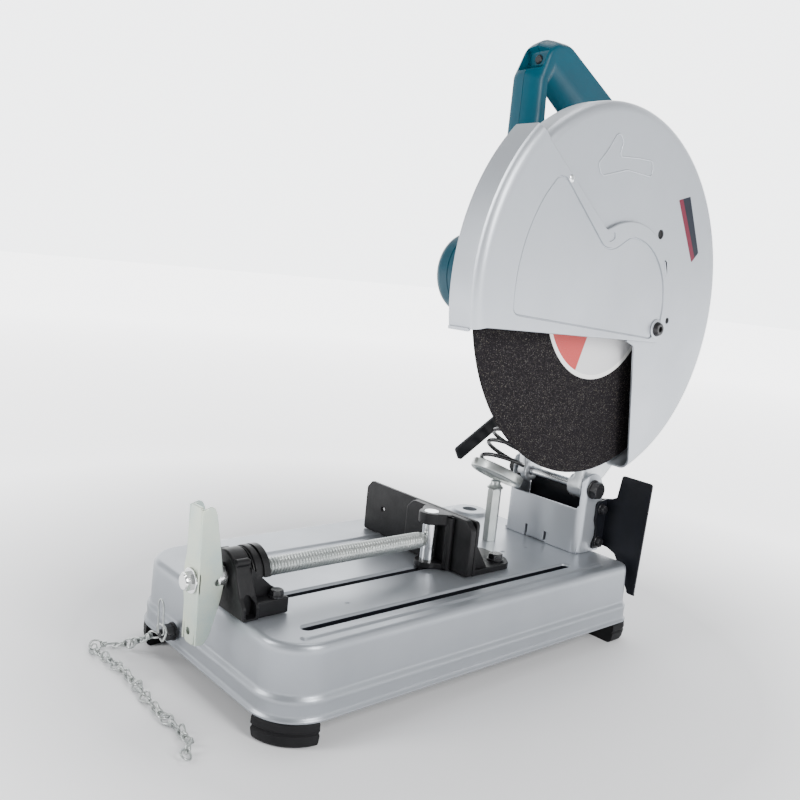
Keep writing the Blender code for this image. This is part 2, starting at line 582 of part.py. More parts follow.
def handle():
    """D handle in two halves, with a pocket for the trigger and its switch."""
    outer = [(128, 455), (128, 585), (133, 600), (143, 613), (156, 619.5), (170, 617), (257, 581),
             (285, 567), (301, 545), (306, 515), (306, 455), (290, 436), (215, 421.5),
             (150, 421.5)]
    finger = [(144, 480), (144, 563), (262, 503), (270, 492), (270, 480), (256, 468), (156, 468)]
    along = (math.cos(GRIP_ANGLE), math.sin(GRIP_ANGLE))
    rise = (-along[1], along[0])
    pocket = [(TRIGGER_Y + u * along[0] + v * rise[0], TRIGGER_Z + u * along[1] + v * rise[1])
              for u, v in ((-22, -20), (22, -20), (22, 28), (-22, 28))]
    halves = []
    for side, low, high in (("left", HANDLE_X - HANDLE_HALF, HANDLE_X - REST / 2),
                            ("right", HANDLE_X + REST / 2, HANDLE_X + HANDLE_HALF)):
        half = prism("handle_" + side, "X", outer, low, high, "teal_plastic", "head")
        cut(half, prism(half.name + "_finger", "X", finger, low - 5, high + 5, "zinc", "head"))
        cut(half, prism(half.name + "_pocket", "X", pocket, HANDLE_X - 8, HANDLE_X + 8, "zinc",
                        "head"))
        halves.append(half)
    drill(halves[0], "button", "X", (178, 582), -50, -30, 6.4, "head")

    def grip_piece(name, low, high, half_width, kind, owner):
        outline = [(TRIGGER_Y + u * along[0] + v * rise[0], TRIGGER_Z + u * along[1] + v * rise[1])
                   for u, v in ((low[0], low[1]), (high[0], low[1]), (high[0], high[1]),
                                (low[0], high[1]))]
        prism(name, "X", outline, HANDLE_X - half_width, HANDLE_X + half_width, kind, owner)

    grip_piece("trigger", (-20, -16), (16, 5), 6.5, "black_plastic", "trigger")
    grip_piece("switch_body", (-18, 11.5), (18, 27), 7.5, "black_plastic", "head")
    turned("lock_off_button", "X", (178, 582), [(-43.5, 5), (-42.5, 6), (-35, 6)], "black_plastic",
           "lock_off", 16)
    turned("cord_gland", "Y", (HANDLE_X, 485),
           [(306 + REST, 4.5), (306 + REST, 12), (310, 12), (312, 9), (326, 7.5), (326, 4.5)],
           "rubber", "head", 16, bored=True)


def safety_guard():
    """Moving guard: a face plate with a hub lobe, and a band round the front of the wheel."""
    low, high = SHIELD_X1 - SHIELD_SHEET, SHIELD_X1
    outline = (arc(WHEEL_AXIS, SHIELD_R - 0.6, 190.5, 137.5, 14) + [(9, 495), (111, 423)]
               + arc((156, 354), 81, 116, 24, 10) + arc((216, 333), 14, 10, -95, 6))
    plate = prism("safety_guard", "X", outline, low, high, "guard_silver", "safety_guard")
    band = []
    for turn in [math.radians(137.5 + (190.5 - 137.5) * i / 12) for i in range(13)]:
        band.append([place("X", x, WHEEL_Y + r * math.cos(turn), WHEEL_Z + r * math.sin(turn))
                     for x, r in ((SHIELD_X0, SHIELD_R), (SHIELD_X0, SHIELD_R - SHIELD_SHEET),
                                  (high - 0.5, SHIELD_R - SHIELD_SHEET), (high - 0.5, SHIELD_R))])
    join(plate, loft("safety_guard_band", band, "zinc", "safety_guard"))
    hex_bolt("guard_bolt", "X", (216, 333), high + REST, high + 5.5, 13, 3, high + REST - 0.2,
             "black_steel", "safety_guard")


# ---------------------------------------------------------------- rotating parts

def gear_ring(along, centre, teeth, phase):
    """One outline of trapezoid teeth, four points to a tooth."""
    module = 2 * GEAR_DISTANCE / (GEAR_TEETH + PINION_TEETH)
    pitch_r = module * teeth / 2
    pitch = 2 * math.pi / teeth
    points = []
    for k in range(teeth):
        for share, reach in ((-0.30, -1.15), (-0.11, 0.75), (0.11, 0.75), (0.30, -1.15)):
            turn = phase + (k + share) * pitch
            radius = pitch_r + reach * module
            points.append(place("X", along, centre[0] + radius * math.cos(turn),
                                centre[1] + radius * math.sin(turn)))
    return points


def wheel_parts():
    turned("abrasive_wheel", "X", WHEEL_AXIS,
           [(WHEEL_X - WHEEL_T / 2, WHEEL_BORE), (WHEEL_X - WHEEL_T / 2, WHEEL_R),
            (WHEEL_X + WHEEL_T / 2, WHEEL_R), (WHEEL_X + WHEEL_T / 2, WHEEL_BORE)],
           "abrasive", "wheel", 72, bored=True)
    inner_x, outer_x = WHEEL_X - WHEEL_T / 2 - REST, WHEEL_X + WHEEL_T / 2 + REST
    turned("inner_flange", "X", WHEEL_AXIS, [(84, 10.3), (84, 20), (87.5, 36), (inner_x, 38),
                                             (inner_x, 10.3)], "black_steel", "wheel", 32, bored=True)
    turned("outer_flange", "X", WHEEL_AXIS, [(outer_x, 5.3), (outer_x, 38), (98, 37), (100.5, 26),
                                             (100.5, 5.3)], "black_steel", "wheel", 32, bored=True)
    hex_bolt("clamp_bolt", "X", WHEEL_AXIS, 100.5 + REST, 107.5, 17, 5, 96, "zinc", "wheel")
    turned("spindle", "X", WHEEL_AXIS, [(19, 10), (94.2, 10), (94.7, 9.5)], "bright_steel", "wheel")
    count = GEAR_TEETH * 4
    bore = [ring("X", x, WHEEL_AXIS, 10.3, count) for x in (44, 60)]
    turn = round(MESH_ANGLE / (2 * math.pi / count))
    bore = [r[turn - 1:] + r[:turn - 1] for r in bore]
    rims = [gear_ring(x, WHEEL_AXIS, GEAR_TEETH, MESH_ANGLE) for x in (44, 60)]
    loft("spindle_gear", [bore[0], rims[0], rims[1], bore[1]], "black_steel", "wheel", closed=True)


def armature_parts():
    count = PINION_TEETH * 4
    phase = MESH_ANGLE + math.pi + math.pi / PINION_TEETH

    def journal(along, radius):
        points = ring("X", along, MOTOR_AXIS, radius, count)
        turn = round(phase / (2 * math.pi / count)) - 1
        return points[turn:] + points[:turn]

    rings = [journal(*s) for s in ((-125, 4), (-112, 4), (-112, 6), (42, 6))]
    rings += [gear_ring(x, MOTOR_AXIS, PINION_TEETH, phase) for x in (43, 62)]
    loft("armature_shaft", rings, "bright_steel", "armature")
    turned("armature_core", "X", MOTOR_AXIS, [(-80, 6.3), (-80, 20), (-76, 26.5), (-24, 26.5),
                                              (-20, 20), (-20, 6.3)], "copper", "armature", 32,
           bored=True)
    turned("commutator", "X", MOTOR_AXIS, [(-106, 6.3), (-106, 17), (-86, 17), (-86, 6.3)],
           "copper", "armature", bored=True)
    blades = []
    for k in range(12):
        for share, radius in ((-0.36, 16), (-0.16, 36.5), (0.06, 36.5), (0.0, 16)):
            turn = (k + share) * math.pi / 6
            blades.append((MOTOR_Y + radius * math.cos(turn), MOTOR_Z + radius * math.sin(turn)))
    discs = {x: ring("X", x, MOTOR_AXIS, 38, 48) for x in (-14, -11)}
    bores = {x: ring("X", x, MOTOR_AXIS, 6.3, 48) for x in (-14, 6)}
    fins = {x: [place("X", x, *p) for p in blades] for x in (-11, 6)}
    shift = {key: r[-2:] + r[:-2] for key, r in discs.items()}
    bores = {key: r[-2:] + r[:-2] for key, r in bores.items()}
    loft("cooling_fan", [bores[-14], shift[-14], shift[-11], fins[-11], fins[6], bores[6]],
         "black_plastic", "armature", closed=True)


def shaft_lock():
    turned("shaft_lock_pin", "Y", (52, 372), [(86, 6.5), (87, 7.5), (91, 7.5), (91, 4), (108, 4)],
           "black_plastic", "shaft_lock", 16)


base_pan()
for side_x, sx in (("left", -1), ("right", 1)):
    for side_y, sy in (("front", -1), ("rear", 1)):
        foot("foot_{}_{}".format(side_y, side_x), sx, sy)
hinge_bracket()
hinge_pin()
return_spring()
spark_plate()
nut_block()
chain_parts()
vise()
vise_nut()
fence()
arm_casting()
guard()
motor()
handle()
safety_guard()
wheel_parts()
armature_parts()
shaft_lock()

BODIES["base"][0].location = Vector((-CENTRE_X, -CENTRE_Y, 0)) * MM
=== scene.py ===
"""The abrasive chop saw's looks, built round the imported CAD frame.

Positions are written in millimetres from the middle of the base's underside, with the
operator at -Y, the cutting wheel towards +X and the hinge of the head towards +Y.
"""

import math

import bmesh
import bpy
from mathutils import Matrix, Vector

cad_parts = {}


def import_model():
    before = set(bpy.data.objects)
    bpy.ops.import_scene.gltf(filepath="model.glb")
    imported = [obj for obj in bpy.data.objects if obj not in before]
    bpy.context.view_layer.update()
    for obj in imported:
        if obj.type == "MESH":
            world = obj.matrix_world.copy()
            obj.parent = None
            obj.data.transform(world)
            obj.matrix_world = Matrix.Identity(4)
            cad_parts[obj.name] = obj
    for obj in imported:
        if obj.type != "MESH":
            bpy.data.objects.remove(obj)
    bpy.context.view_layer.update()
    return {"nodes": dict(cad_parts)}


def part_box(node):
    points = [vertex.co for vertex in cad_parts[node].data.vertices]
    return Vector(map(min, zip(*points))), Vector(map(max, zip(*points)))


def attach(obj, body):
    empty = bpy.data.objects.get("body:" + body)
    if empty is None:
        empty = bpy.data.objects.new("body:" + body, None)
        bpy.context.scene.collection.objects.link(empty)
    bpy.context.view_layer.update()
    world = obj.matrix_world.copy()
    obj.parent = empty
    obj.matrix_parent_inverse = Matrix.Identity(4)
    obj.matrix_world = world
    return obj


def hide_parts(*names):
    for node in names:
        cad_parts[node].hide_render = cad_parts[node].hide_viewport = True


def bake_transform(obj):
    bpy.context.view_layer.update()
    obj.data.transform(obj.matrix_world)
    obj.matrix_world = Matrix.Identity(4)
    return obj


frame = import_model()

MM = 0.001
PAN_LOW, PAN_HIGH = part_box("base_pan")
ORIGIN = Vector(((PAN_LOW.x + PAN_HIGH.x) / 2, (PAN_LOW.y + PAN_HIGH.y) / 2, 0))

BASE_HALF_X, BASE_HALF_Y, BASE_TOP = 125.2, 218.3, 82.2
FRONT_CORNER, REAR_CORNER = 38.0, 12.0
WHEEL_X, WHEEL_AXIS, WHEEL_R = 93.5, (144.5, 360.0), 177.5
GUARD_AXIS, GUARD_R, GUARD_X0, GUARD_X1 = (144.5, 358.0), 185.5, 83.3, 112.0
SHIELD_R, SHIELD_X0, SHIELD_X1 = 198.5, 85.0, 116.0
GUARD_BOLT = (216.0, 333.0)
GEAR_MESH = math.radians(16.6)
MOTOR_AXIS = (144.5 + 35 * math.cos(GEAR_MESH), 360 + 35 * math.sin(GEAR_MESH))
MOTOR_R = 48.5
HINGE_AXIS = (200.0, 154.0)
SPRING_LEAN = math.radians(27)
SCREW_AXIS = (29.0, 110.5)
SCREW_PITCH, SCREW_BORE = 3.1, 8.8  # the bore as a radius
HANDLE_X, HANDLE_HALF = -22.0, 17.0
BOSS_AT, POST_AT = (-92, 191), (-2, 131)
SPRING_FOOT = (-2.0, 131.0, 159.0)
BADGE_CORNER = (230, 465)
GUARD_HOLES = (("hole_a", (206, 428), 4.9), ("hole_b", (240, 342), 3.3))
LOCK_BUTTON_AT = (178, 582)


# ---------------------------------------------------------------- geometry helpers

def world(point):
    """A place in the scene, in metres, from millimetres about the base."""
    return ORIGIN + Vector(point) * MM


def place(axis, along, u, v):
    """A point from its distance along an axis and its two places across it."""
    return {"X": (along, u, v), "Y": (u, along, v), "Z": (u, v, along)}[axis]


def solid(name, points, faces):
    """A mesh object from points in millimetres, its faces turned outwards."""
    mesh = bpy.data.meshes.new(name)
    mesh.from_pydata([world(p) for p in points], [], faces)
    work = bmesh.new()
    work.from_mesh(mesh)
    bmesh.ops.recalc_face_normals(work, faces=work.faces)
    work.to_mesh(mesh)
    work.free()
    return linked(name, mesh)


def loft(name, rings, closed=False):
    """Skin rings of equally many points, capped at both ends or closed into a loop."""
    count = len(rings[0])
    points = [p for r in rings for p in r]
    faces = []
    for k in range(len(rings) if closed else len(rings) - 1):
        low, high = k * count, (k + 1) % len(rings) * count
        for i in range(count):
            j = (i + 1) % count
            faces.append((low + i, low + j, high + j, high + i))
    if not closed:
        faces.append(tuple(range(count)))
        faces.append(tuple(range(len(points) - count, len(points))))
    return solid(name, points, faces)


def polar(centre, radius, degrees):
    """The point at a radius and a direction round a centre."""
    turn = math.radians(degrees)
    return (centre[0] + radius * math.cos(turn), centre[1] + radius * math.sin(turn))


def arc(centre, radius, start, stop, steps):
    """Points along an arc, angles in degrees."""
    return [polar(centre, radius, start + (stop - start) * i / steps) for i in range(steps + 1)]


def rounded(corners, steps=6):
    """A polygon from corners (u, v, radius), each turned into an arc."""
    outline = []
    for i, (u, v, radius) in enumerate(corners):
        if radius <= 0:
            outline.append((u, v))
            continue
        corner = Vector((u, v))
        before = (Vector(corners[i - 1][:2]) - corner).normalized()
        after = (Vector(corners[(i + 1) % len(corners)][:2]) - corner).normalized()
        half = before.angle(after) / 2
        centre = corner + (before + after).normalized() * radius / math.sin(half)
        first = corner + before * radius / math.tan(half) - centre
        last = corner + after * radius / math.tan(half) - centre
        start = math.atan2(first.y, first.x)
        sweep = (math.atan2(last.y, last.x) - start + math.pi) % (2 * math.pi) - math.pi
        for k in range(steps + 1):
            turn = start + sweep * k / steps
            outline.append((centre.x + radius * math.cos(turn), centre.y + radius * math.sin(turn)))
    return outline


def fixed(points):
    """Points that rounded() keeps as they are."""
    return [(u, v, 0) for u, v in points]


def inset(outline, distance):
    """The outline moved inwards by a distance, or outwards if it is negative."""
    area = sum(a[0] * b[1] - b[0] * a[1] for a, b in zip(outline, outline[1:] + outline[:1]))
    side = 1 if area > 0 else -1
    moved = []
    for i, here in enumerate(outline):
        here = Vector(here)
        before = (here - Vector(outline[i - 1])).normalized()
        after = (Vector(outline[(i + 1) % len(outline)]) - here).normalized()
        normal = Vector((-before.y - after.y, before.x + after.x)) * side
        if normal.length < 1e-6:
            moved.append(tuple(here))
            continue
        normal.normalize()
        across = Vector((-before.y, before.x)) * side
        reach = distance / max(0.35, normal.dot(across))
        moved.append(tuple(here + normal * reach))
    return moved


def prism(name, axis, outline, low, high, round_low=0.0, round_high=0.0, steps=4):
    """An outline drawn out along an axis, its end edges rolled over by a radius."""
    def rolled(radius):
        """An end's levels as (depth below the end, inset), starting at the end."""
        turns = [math.pi / 2 * k / steps for k in range(steps)] if radius else []
        curve = [(radius * (1 - math.cos(t)), radius * (1 - math.sin(t))) for t in turns]
        return curve + [(radius, 0)]

    levels = [(low + depth, distance) for depth, distance in rolled(round_low)]
    levels += [(high - depth, distance) for depth, distance in reversed(rolled(round_high))]
    rings = []
    for along, distance in levels:
        line = inset(outline, distance) if distance else outline
        rings.append([place(axis, along, u, v) for u, v in line])
    return loft(name, rings)


def box(name, low, high, radius=0.0):
    """A block whose upright edges and ends are rolled over."""
    corners = [(u, v, radius) for u, v in ((low[0], low[1]), (high[0], low[1]), (high[0], high[1]),
                                           (low[0], high[1]))]
    return prism(name, "Z", rounded(corners, 3), low[2], high[2], radius * 0.8, radius * 0.8, 3)


def turned(name, axis, centre, profile, count=48, bored=False):
    """A body of revolution from sections (along, radius) or, with flats, (along, radius, sides)."""
    rings = []
    for along, radius, *flats in profile:
        points = []
        for i in range(count):
            turn = 2 * math.pi * i / count
            reach = radius
            if flats:
                step = 2 * math.pi / flats[0]
                reach = radius / math.cos(turn % step - step / 2)
            points.append(place(axis, along, centre[0] + reach * math.cos(turn),
                                centre[1] + reach * math.sin(turn)))
        rings.append(points)
    return loft(name, rings, closed=bored)


def sector(name, centre, profile, start, stop, steps):
    """A profile (x, radius) swept through part of a turn about an axis along X."""
    turns = [start + (stop - start) * i / steps for i in range(steps + 1)]
    return loft(name, [[(x, *polar(centre, r, turn)) for x, r in profile] for turn in turns])


def tube(name, route, radius, sides=10, closed=False):
    """A round bar along points, its sections carried along without twisting."""
    points = [Vector(p) for p in route]
    count = len(points)
    tangents = []
    for i in range(count):
        if closed:
            step = points[(i + 1) % count] - points[i - 1]
        else:
            step = points[min(i + 1, count - 1)] - points[max(i - 1, 0)]
        tangents.append(step.normalized())
    up = Vector((0, 0, 1)) if abs(tangents[0].z) < 0.9 else Vector((1, 0, 0))
    normal = tangents[0].cross(up).normalized()
    rings = []
    for here, tangent in zip(points, tangents):
        normal = (normal - tangent * normal.dot(tangent)).normalized()
        other = tangent.cross(normal)
        rings.append([here + (normal * math.cos(2 * math.pi * k / sides)
                              + other * math.sin(2 * math.pi * k / sides)) * radius
                      for k in range(sides)])
    return loft(name, rings, closed=closed)


def linked(name, data):
    """A new object with this data, in the scene."""
    obj = bpy.data.objects.new(name, data)
    bpy.context.collection.objects.link(obj)
    return obj


def bake(obj):
    """Turn an object's modifiers into its mesh."""
    graph = bpy.context.evaluated_depsgraph_get()
    mesh = bpy.data.meshes.new_from_object(obj.evaluated_get(graph))
    obj.modifiers.clear()
    obj.data = mesh


def combine(target, operation, tools):
    """Apply exact Booleans to a mesh and delete the tools."""
    for tool in tools:
        boolean = target.modifiers.new(tool.name, "BOOLEAN")
        boolean.operation = operation
        boolean.solver = "EXACT"
        boolean.object = tool
    bake(target)
    for tool in tools:
        bpy.data.objects.remove(tool, do_unlink=True)


def cut(target, *tools):
    combine(target, "DIFFERENCE", tools)


def fuse(target, *tools):
    combine(target, "UNION", tools)


def merge(name, parts):
    """Several meshes as one object, without a Boolean."""
    joined = bpy.data.meshes.new(name)
    work = bmesh.new()
    for part in parts:
        work.from_mesh(part.data)
    work.to_mesh(joined)
    work.free()
    for part in parts:
        bpy.data.objects.remove(part, do_unlink=True)
    return linked(name, joined)


def soften(obj, width, segments=3, angle=30):
    """Round an object's edges."""
    bevel = obj.modifiers.new("soften", "BEVEL")
    bevel.width = width * MM
    bevel.segments = segments
    bevel.limit_method = "ANGLE"
    bevel.angle_limit = math.radians(angle)
    bevel.use_clamp_overlap = False
    bake(obj)


def dress(obj, material, owner, like, stands=True, sharp=35):
    """Shade a piece, give it its material and hang it on its body."""
    mesh = obj.data
    mesh.shade_smooth()
    mesh.set_sharp_from_angle(angle=math.radians(sharp))
    mesh.materials.clear()
    mesh.materials.append(material)
    weigh = obj.modifiers.new("weighted", "WEIGHTED_NORMAL")
    weigh.keep_sharp = True
    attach(obj, owner)
    if stands:
        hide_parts(like)
    return obj


# ---------------------------------------------------------------- materials

NOISE_ROUGHNESS = 0.55


def new_material(name):
    """A material, its tree, its shader and the object's coordinates, in which all patterns lie."""
    material = bpy.data.materials.new(name)
    material.use_nodes = True
    tree = material.node_tree
    coords = tree.nodes.new("ShaderNodeTexCoord").outputs["Object"]
    return material, tree, tree.nodes["Principled BSDF"], coords


def noise(tree, coords, scale, detail):
    """A noise that mostly stays between 0.3 and 0.7."""
    node = tree.nodes.new("ShaderNodeTexNoise")
    node.inputs["Scale"].default_value = scale
    node.inputs["Detail"].default_value = detail
    node.inputs["Roughness"].default_value = NOISE_ROUGHNESS
    tree.links.new(coords, node.inputs["Vector"])
    return node.outputs["Fac"]


def math_node(tree, operation, first, second):
    """The sum, product or angle of two numbers."""
    node = tree.nodes.new("ShaderNodeMath")
    node.operation = operation
    tree.links.new(first, node.inputs[0])
    tree.links.new(second, node.inputs[1])
    return node.outputs["Value"]


def vector_node(tree, operation, source, other=None):
    """A vector from SUBTRACT, a number from DOT_PRODUCT and LENGTH."""
    node = tree.nodes.new("ShaderNodeVectorMath")
    node.operation = operation
    tree.links.new(source, node.inputs[0])
    if other is not None:
        node.inputs[1].default_value = other
    return node.outputs["Vector" if operation == "SUBTRACT" else "Value"]


def parted(tree, source):
    """The three numbers of a vector."""
    node = tree.nodes.new("ShaderNodeSeparateXYZ")
    tree.links.new(source, node.inputs["Vector"])
    return node.outputs


def spread(tree, source, low, high, start=0.3, stop=0.7):
    """Map a noise's middle range to a range of values."""
    node = tree.nodes.new("ShaderNodeMapRange")
    node.inputs["From Min"].default_value = start
    node.inputs["From Max"].default_value = stop
    node.inputs["To Min"].default_value = low
    node.inputs["To Max"].default_value = high
    tree.links.new(source, node.inputs["Value"])
    return node.outputs["Result"]


def blend_colours(tree, factor, first, second):
    """Mix two colours; each is a tuple or a socket."""
    node = tree.nodes.new("ShaderNodeMix")
    node.data_type = "RGBA"
    tree.links.new(factor, node.inputs["Factor"])
    for key, value in (("A", first), ("B", second)):
        socket = [s for s in node.inputs if s.name == key and s.type == "RGBA"][0]
        if isinstance(value, tuple):
            socket.default_value = (*value, 1.0)
        else:
            tree.links.new(value, socket)
    return [s for s in node.outputs if s.type == "RGBA"][0]


def bump(tree, shader, heights):
    """Chain bumps of (height socket, distance in millimetres)."""
    last = None
    for height, distance in heights:
        node = tree.nodes.new("ShaderNodeBump")
        node.inputs["Distance"].default_value = distance * MM
        node.inputs["Strength"].default_value = 1.0
        tree.links.new(height, node.inputs["Height"])
        if last:
            tree.links.new(last, node.inputs["Normal"])
        last = node.outputs["Normal"]
    tree.links.new(last, shader.inputs["Normal"])


def finish(name, dark, light, metallic, rough, *, mottle=40, grain=2200, relief=(900, 0.02),
           coarse=None, gloss=0.5, stretch=None):
    """A surface whose colour and roughness wander between two values, with fine relief."""
    material, tree, shader, coords = new_material(name)
    shader.inputs["Metallic"].default_value = metallic
    shader.inputs["Specular IOR Level"].default_value = gloss
    if stretch:
        mapping = tree.nodes.new("ShaderNodeMapping")
        mapping.inputs["Scale"].default_value = stretch
        tree.links.new(coords, mapping.inputs["Vector"])
        coords = mapping.outputs["Vector"]
    broad = noise(tree, coords, mottle, 4.0)
    fine = noise(tree, coords, grain, 2.0)
    half = blend_colours(tree, spread(tree, broad, 0.0, 1.0), dark, light)
    colour = blend_colours(tree, spread(tree, fine, 0.0, 0.35), half, light)
    tree.links.new(colour, shader.inputs["Base Color"])
    tree.links.new(spread(tree, broad, rough[1], rough[0]), shader.inputs["Roughness"])
    heights = [(noise(tree, coords, relief[0], 2.0), relief[1])]
    if coarse:
        heights.append((noise(tree, coords, coarse[0], 3.0), coarse[1]))
    bump(tree, shader, heights)
    return material


def abrasive_material():
    """Dark resin with grit: a rough relief and scattered bright crystals."""
    material, tree, shader, coords = new_material("resin_grit")
    shader.inputs["Specular IOR Level"].default_value = 0.10
    cells = tree.nodes.new("ShaderNodeTexVoronoi")
    cells.inputs["Scale"].default_value = 1500
    tree.links.new(coords, cells.inputs["Vector"])
    split = tree.nodes.new("ShaderNodeSeparateColor")
    tree.links.new(cells.outputs["Color"], split.inputs["Color"])
    crystal = blend_colours(tree, split.outputs["Green"], (0.050, 0.048, 0.054),
                            (0.100, 0.090, 0.070))
    resin = blend_colours(tree, noise(tree, coords, 350, 4.0), (0.004, 0.0036, 0.0045),
                          (0.014, 0.012, 0.014))
    bright = spread(tree, split.outputs["Red"], 0.0, 1.0, 0.84, 0.99)
    tree.links.new(blend_colours(tree, bright, resin, crystal), shader.inputs["Base Color"])
    tree.links.new(spread(tree, split.outputs["Red"], 0.9, 0.35, 0.8, 1.0),
                   shader.inputs["Roughness"])
    bump(tree, shader, [(cells.outputs["Distance"], 0.35), (noise(tree, coords, 420, 3.0), 0.4)])
    return material


def label_material():
    """Printed paper disc: red and pale sectors about the wheel's axis, inside a white rim."""
    material, tree, shader, coords = new_material("wheel_paper")
    grey, red, white, fibre = ((0.60, 0.60, 0.61), (0.42, 0.010, 0.008), (0.82, 0.82, 0.80),
                               (0.25, 0.24, 0.23))
    spoke = vector_node(tree, "SUBTRACT", coords, world((WHEEL_X, *WHEEL_AXIS)))
    split = parted(tree, spoke)
    angle = math_node(tree, "ARCTAN2", split["Z"], split["Y"])
    colour = red
    for start, width, after in ((-1.93, 0.015, grey), (-0.42, 0.01, red), (1.20, 0.01, white)):
        edge = spread(tree, angle, 0.0, 1.0, start, start + width)
        colour = blend_colours(tree, edge, colour, after)
    rim = spread(tree, vector_node(tree, "LENGTH", spoke), 0.0, 1.0, 0.0775, 0.0778)
    colour = blend_colours(tree, rim, colour, white)
    fibres = spread(tree, noise(tree, coords, 900, 3.0), 0.0, 0.16)
    tree.links.new(blend_colours(tree, fibres, colour, fibre), shader.inputs["Base Color"])
    shader.inputs["Roughness"].default_value = 0.55
    bump(tree, shader, [(noise(tree, coords, 500, 3.0), 0.12)])
    return material


def decal_material():
    """A plain dark badge with one coloured stripe along its lower edge."""
    material, tree, shader, coords = new_material("badge_film")
    shader.inputs["Specular IOR Level"].default_value = 0.15
    offset = vector_node(tree, "SUBTRACT", coords, world((GUARD_X1, *BADGE_CORNER)))
    across = vector_node(tree, "DOT_PRODUCT", offset, Vector((0, 60, 40)).normalized())
    stripe = spread(tree, across, 0.0, 1.0, 0.0066, 0.0070)
    film = blend_colours(tree, noise(tree, coords, 60, 3.0), (0.006, 0.008, 0.014),
                         (0.012, 0.015, 0.024))
    tree.links.new(blend_colours(tree, stripe, (0.11, 0.012, 0.026), film),
                   shader.inputs["Base Color"])
    shader.inputs["Roughness"].default_value = 0.3
    bump(tree, shader, [(noise(tree, coords, 700, 2.0), 0.01)])
    return material


SILVER = finish("silver_paint", (0.27, 0.29, 0.315), (0.34, 0.36, 0.39), 0.65, (0.32, 0.42),
                mottle=9, grain=3800, relief=(2600, 0.010))
GUARD_PAINT = finish("guard_paint", (0.34, 0.36, 0.39), (0.42, 0.445, 0.48), 0.62, (0.32, 0.42),
                     mottle=7, grain=3800, relief=(2600, 0.010))
ZINC = finish("zinc_plate", (0.34, 0.37, 0.37), (0.54, 0.56, 0.54), 0.80, (0.26, 0.40),
              mottle=45, grain=900, relief=(700, 0.012))
LEVER_ZINC = finish("yellow_zinc", (0.34, 0.44, 0.45), (0.58, 0.60, 0.46), 0.75, (0.32, 0.46),
                    mottle=16, grain=900, relief=(700, 0.012))
BRIGHT_ZINC = finish("bright_zinc", (0.62, 0.64, 0.64), (0.80, 0.81, 0.80), 1.0, (0.12, 0.24),
                     mottle=60, grain=900, relief=(700, 0.008))
STEEL = finish("bright_steel", (0.66, 0.67, 0.69), (0.80, 0.81, 0.82), 1.0, (0.12, 0.22),
               mottle=60, grain=2500, relief=(1500, 0.004))
BLACK_PAINT = finish("black_paint", (0.004, 0.0045, 0.006), (0.008, 0.009, 0.013), 0.0,
                     (0.30, 0.44), mottle=30, grain=1500, relief=(1100, 0.03), gloss=0.20)
BLACK_OXIDE = finish("black_oxide", (0.005, 0.005, 0.006), (0.014, 0.014, 0.016), 0.0,
                     (0.24, 0.38), mottle=120, grain=2500, relief=(1600, 0.012), gloss=0.40)
BLACK_CAST = finish("black_casting", (0.003, 0.003, 0.0035), (0.009, 0.009, 0.010), 0.0,
                    (0.34, 0.50), mottle=50, grain=1400, relief=(900, 0.06), coarse=(260, 0.12),
                    gloss=0.22)
CAST = finish("cast_aluminium", (0.44, 0.46, 0.48), (0.62, 0.64, 0.66), 0.9, (0.34, 0.48),
              mottle=35, grain=1800, relief=(1100, 0.05), coarse=(300, 0.06))
TEAL = finish("teal_moulding", (0.000, 0.034, 0.055), (0.000, 0.048, 0.074), 0.0, (0.32, 0.42),
              mottle=22, grain=2400, relief=(2300, 0.022), gloss=0.22)
BLACK_PLASTIC = finish("black_moulding", (0.004, 0.004, 0.005), (0.010, 0.010, 0.011), 0.0,
                       (0.40, 0.55), mottle=60, grain=2200, relief=(2100, 0.025), gloss=0.22)
RUBBER = finish("rubber", (0.004, 0.004, 0.005), (0.009, 0.009, 0.010), 0.0, (0.55, 0.70),
                mottle=35, grain=1500, relief=(900, 0.05), gloss=0.20)
SPRING_STEEL = finish("spring_wire", (0.006, 0.006, 0.007), (0.018, 0.018, 0.020), 0.0,
                      (0.20, 0.32), mottle=150, grain=2500, relief=(1800, 0.012), gloss=0.5)
COPPER = finish("copper", (0.42, 0.17, 0.08), (0.66, 0.33, 0.18), 1.0, (0.25, 0.42),
                mottle=200, grain=1600, relief=(900, 0.08), stretch=(0.2, 1.0, 1.0))
LAMINATION = finish("laminations", (0.20, 0.21, 0.22), (0.36, 0.37, 0.39), 0.9, (0.35, 0.5),
                    mottle=150, grain=3000, relief=(700, 0.06), stretch=(6.0, 0.3, 0.3))
GRIT = abrasive_material()
PAPER = label_material()
BADGE = decal_material()

NODE_SKINS = (
    (STEEL, ("hinge_shaft", "jaw_pin", "spindle", "spindle_bearing", "front_bearing",
             "rear_bearing", "armature_shaft")),
    (BLACK_OXIDE, ("spindle_gear", "inner_flange", "outer_flange", "hinge_nut")),
    (BLACK_PLASTIC, ("cooling_fan", "carbon_brush_upper", "carbon_brush_lower", "switch_body")),
    (COPPER, ("armature_core", "commutator")),
    (CAST, ("bearing_box",)), (LAMINATION, ("stator",)), (ZINC, ("clamp_bolt",)))
for skin, skinned in NODE_SKINS:
    for node in skinned:
        for slot in frame["nodes"][node].material_slots:
            slot.material = skin


# ---------------------------------------------------------------- camera, floor and light

AZIMUTH, ELEVATION, ROLL = 0.8345, 0.1545, 0.1012
CAMERA_AT = (614.56, -566.04, 368.76)
FOCAL_PX, PRINCIPAL, PICTURE = 864.23, (409.73, 404.02), 800.0


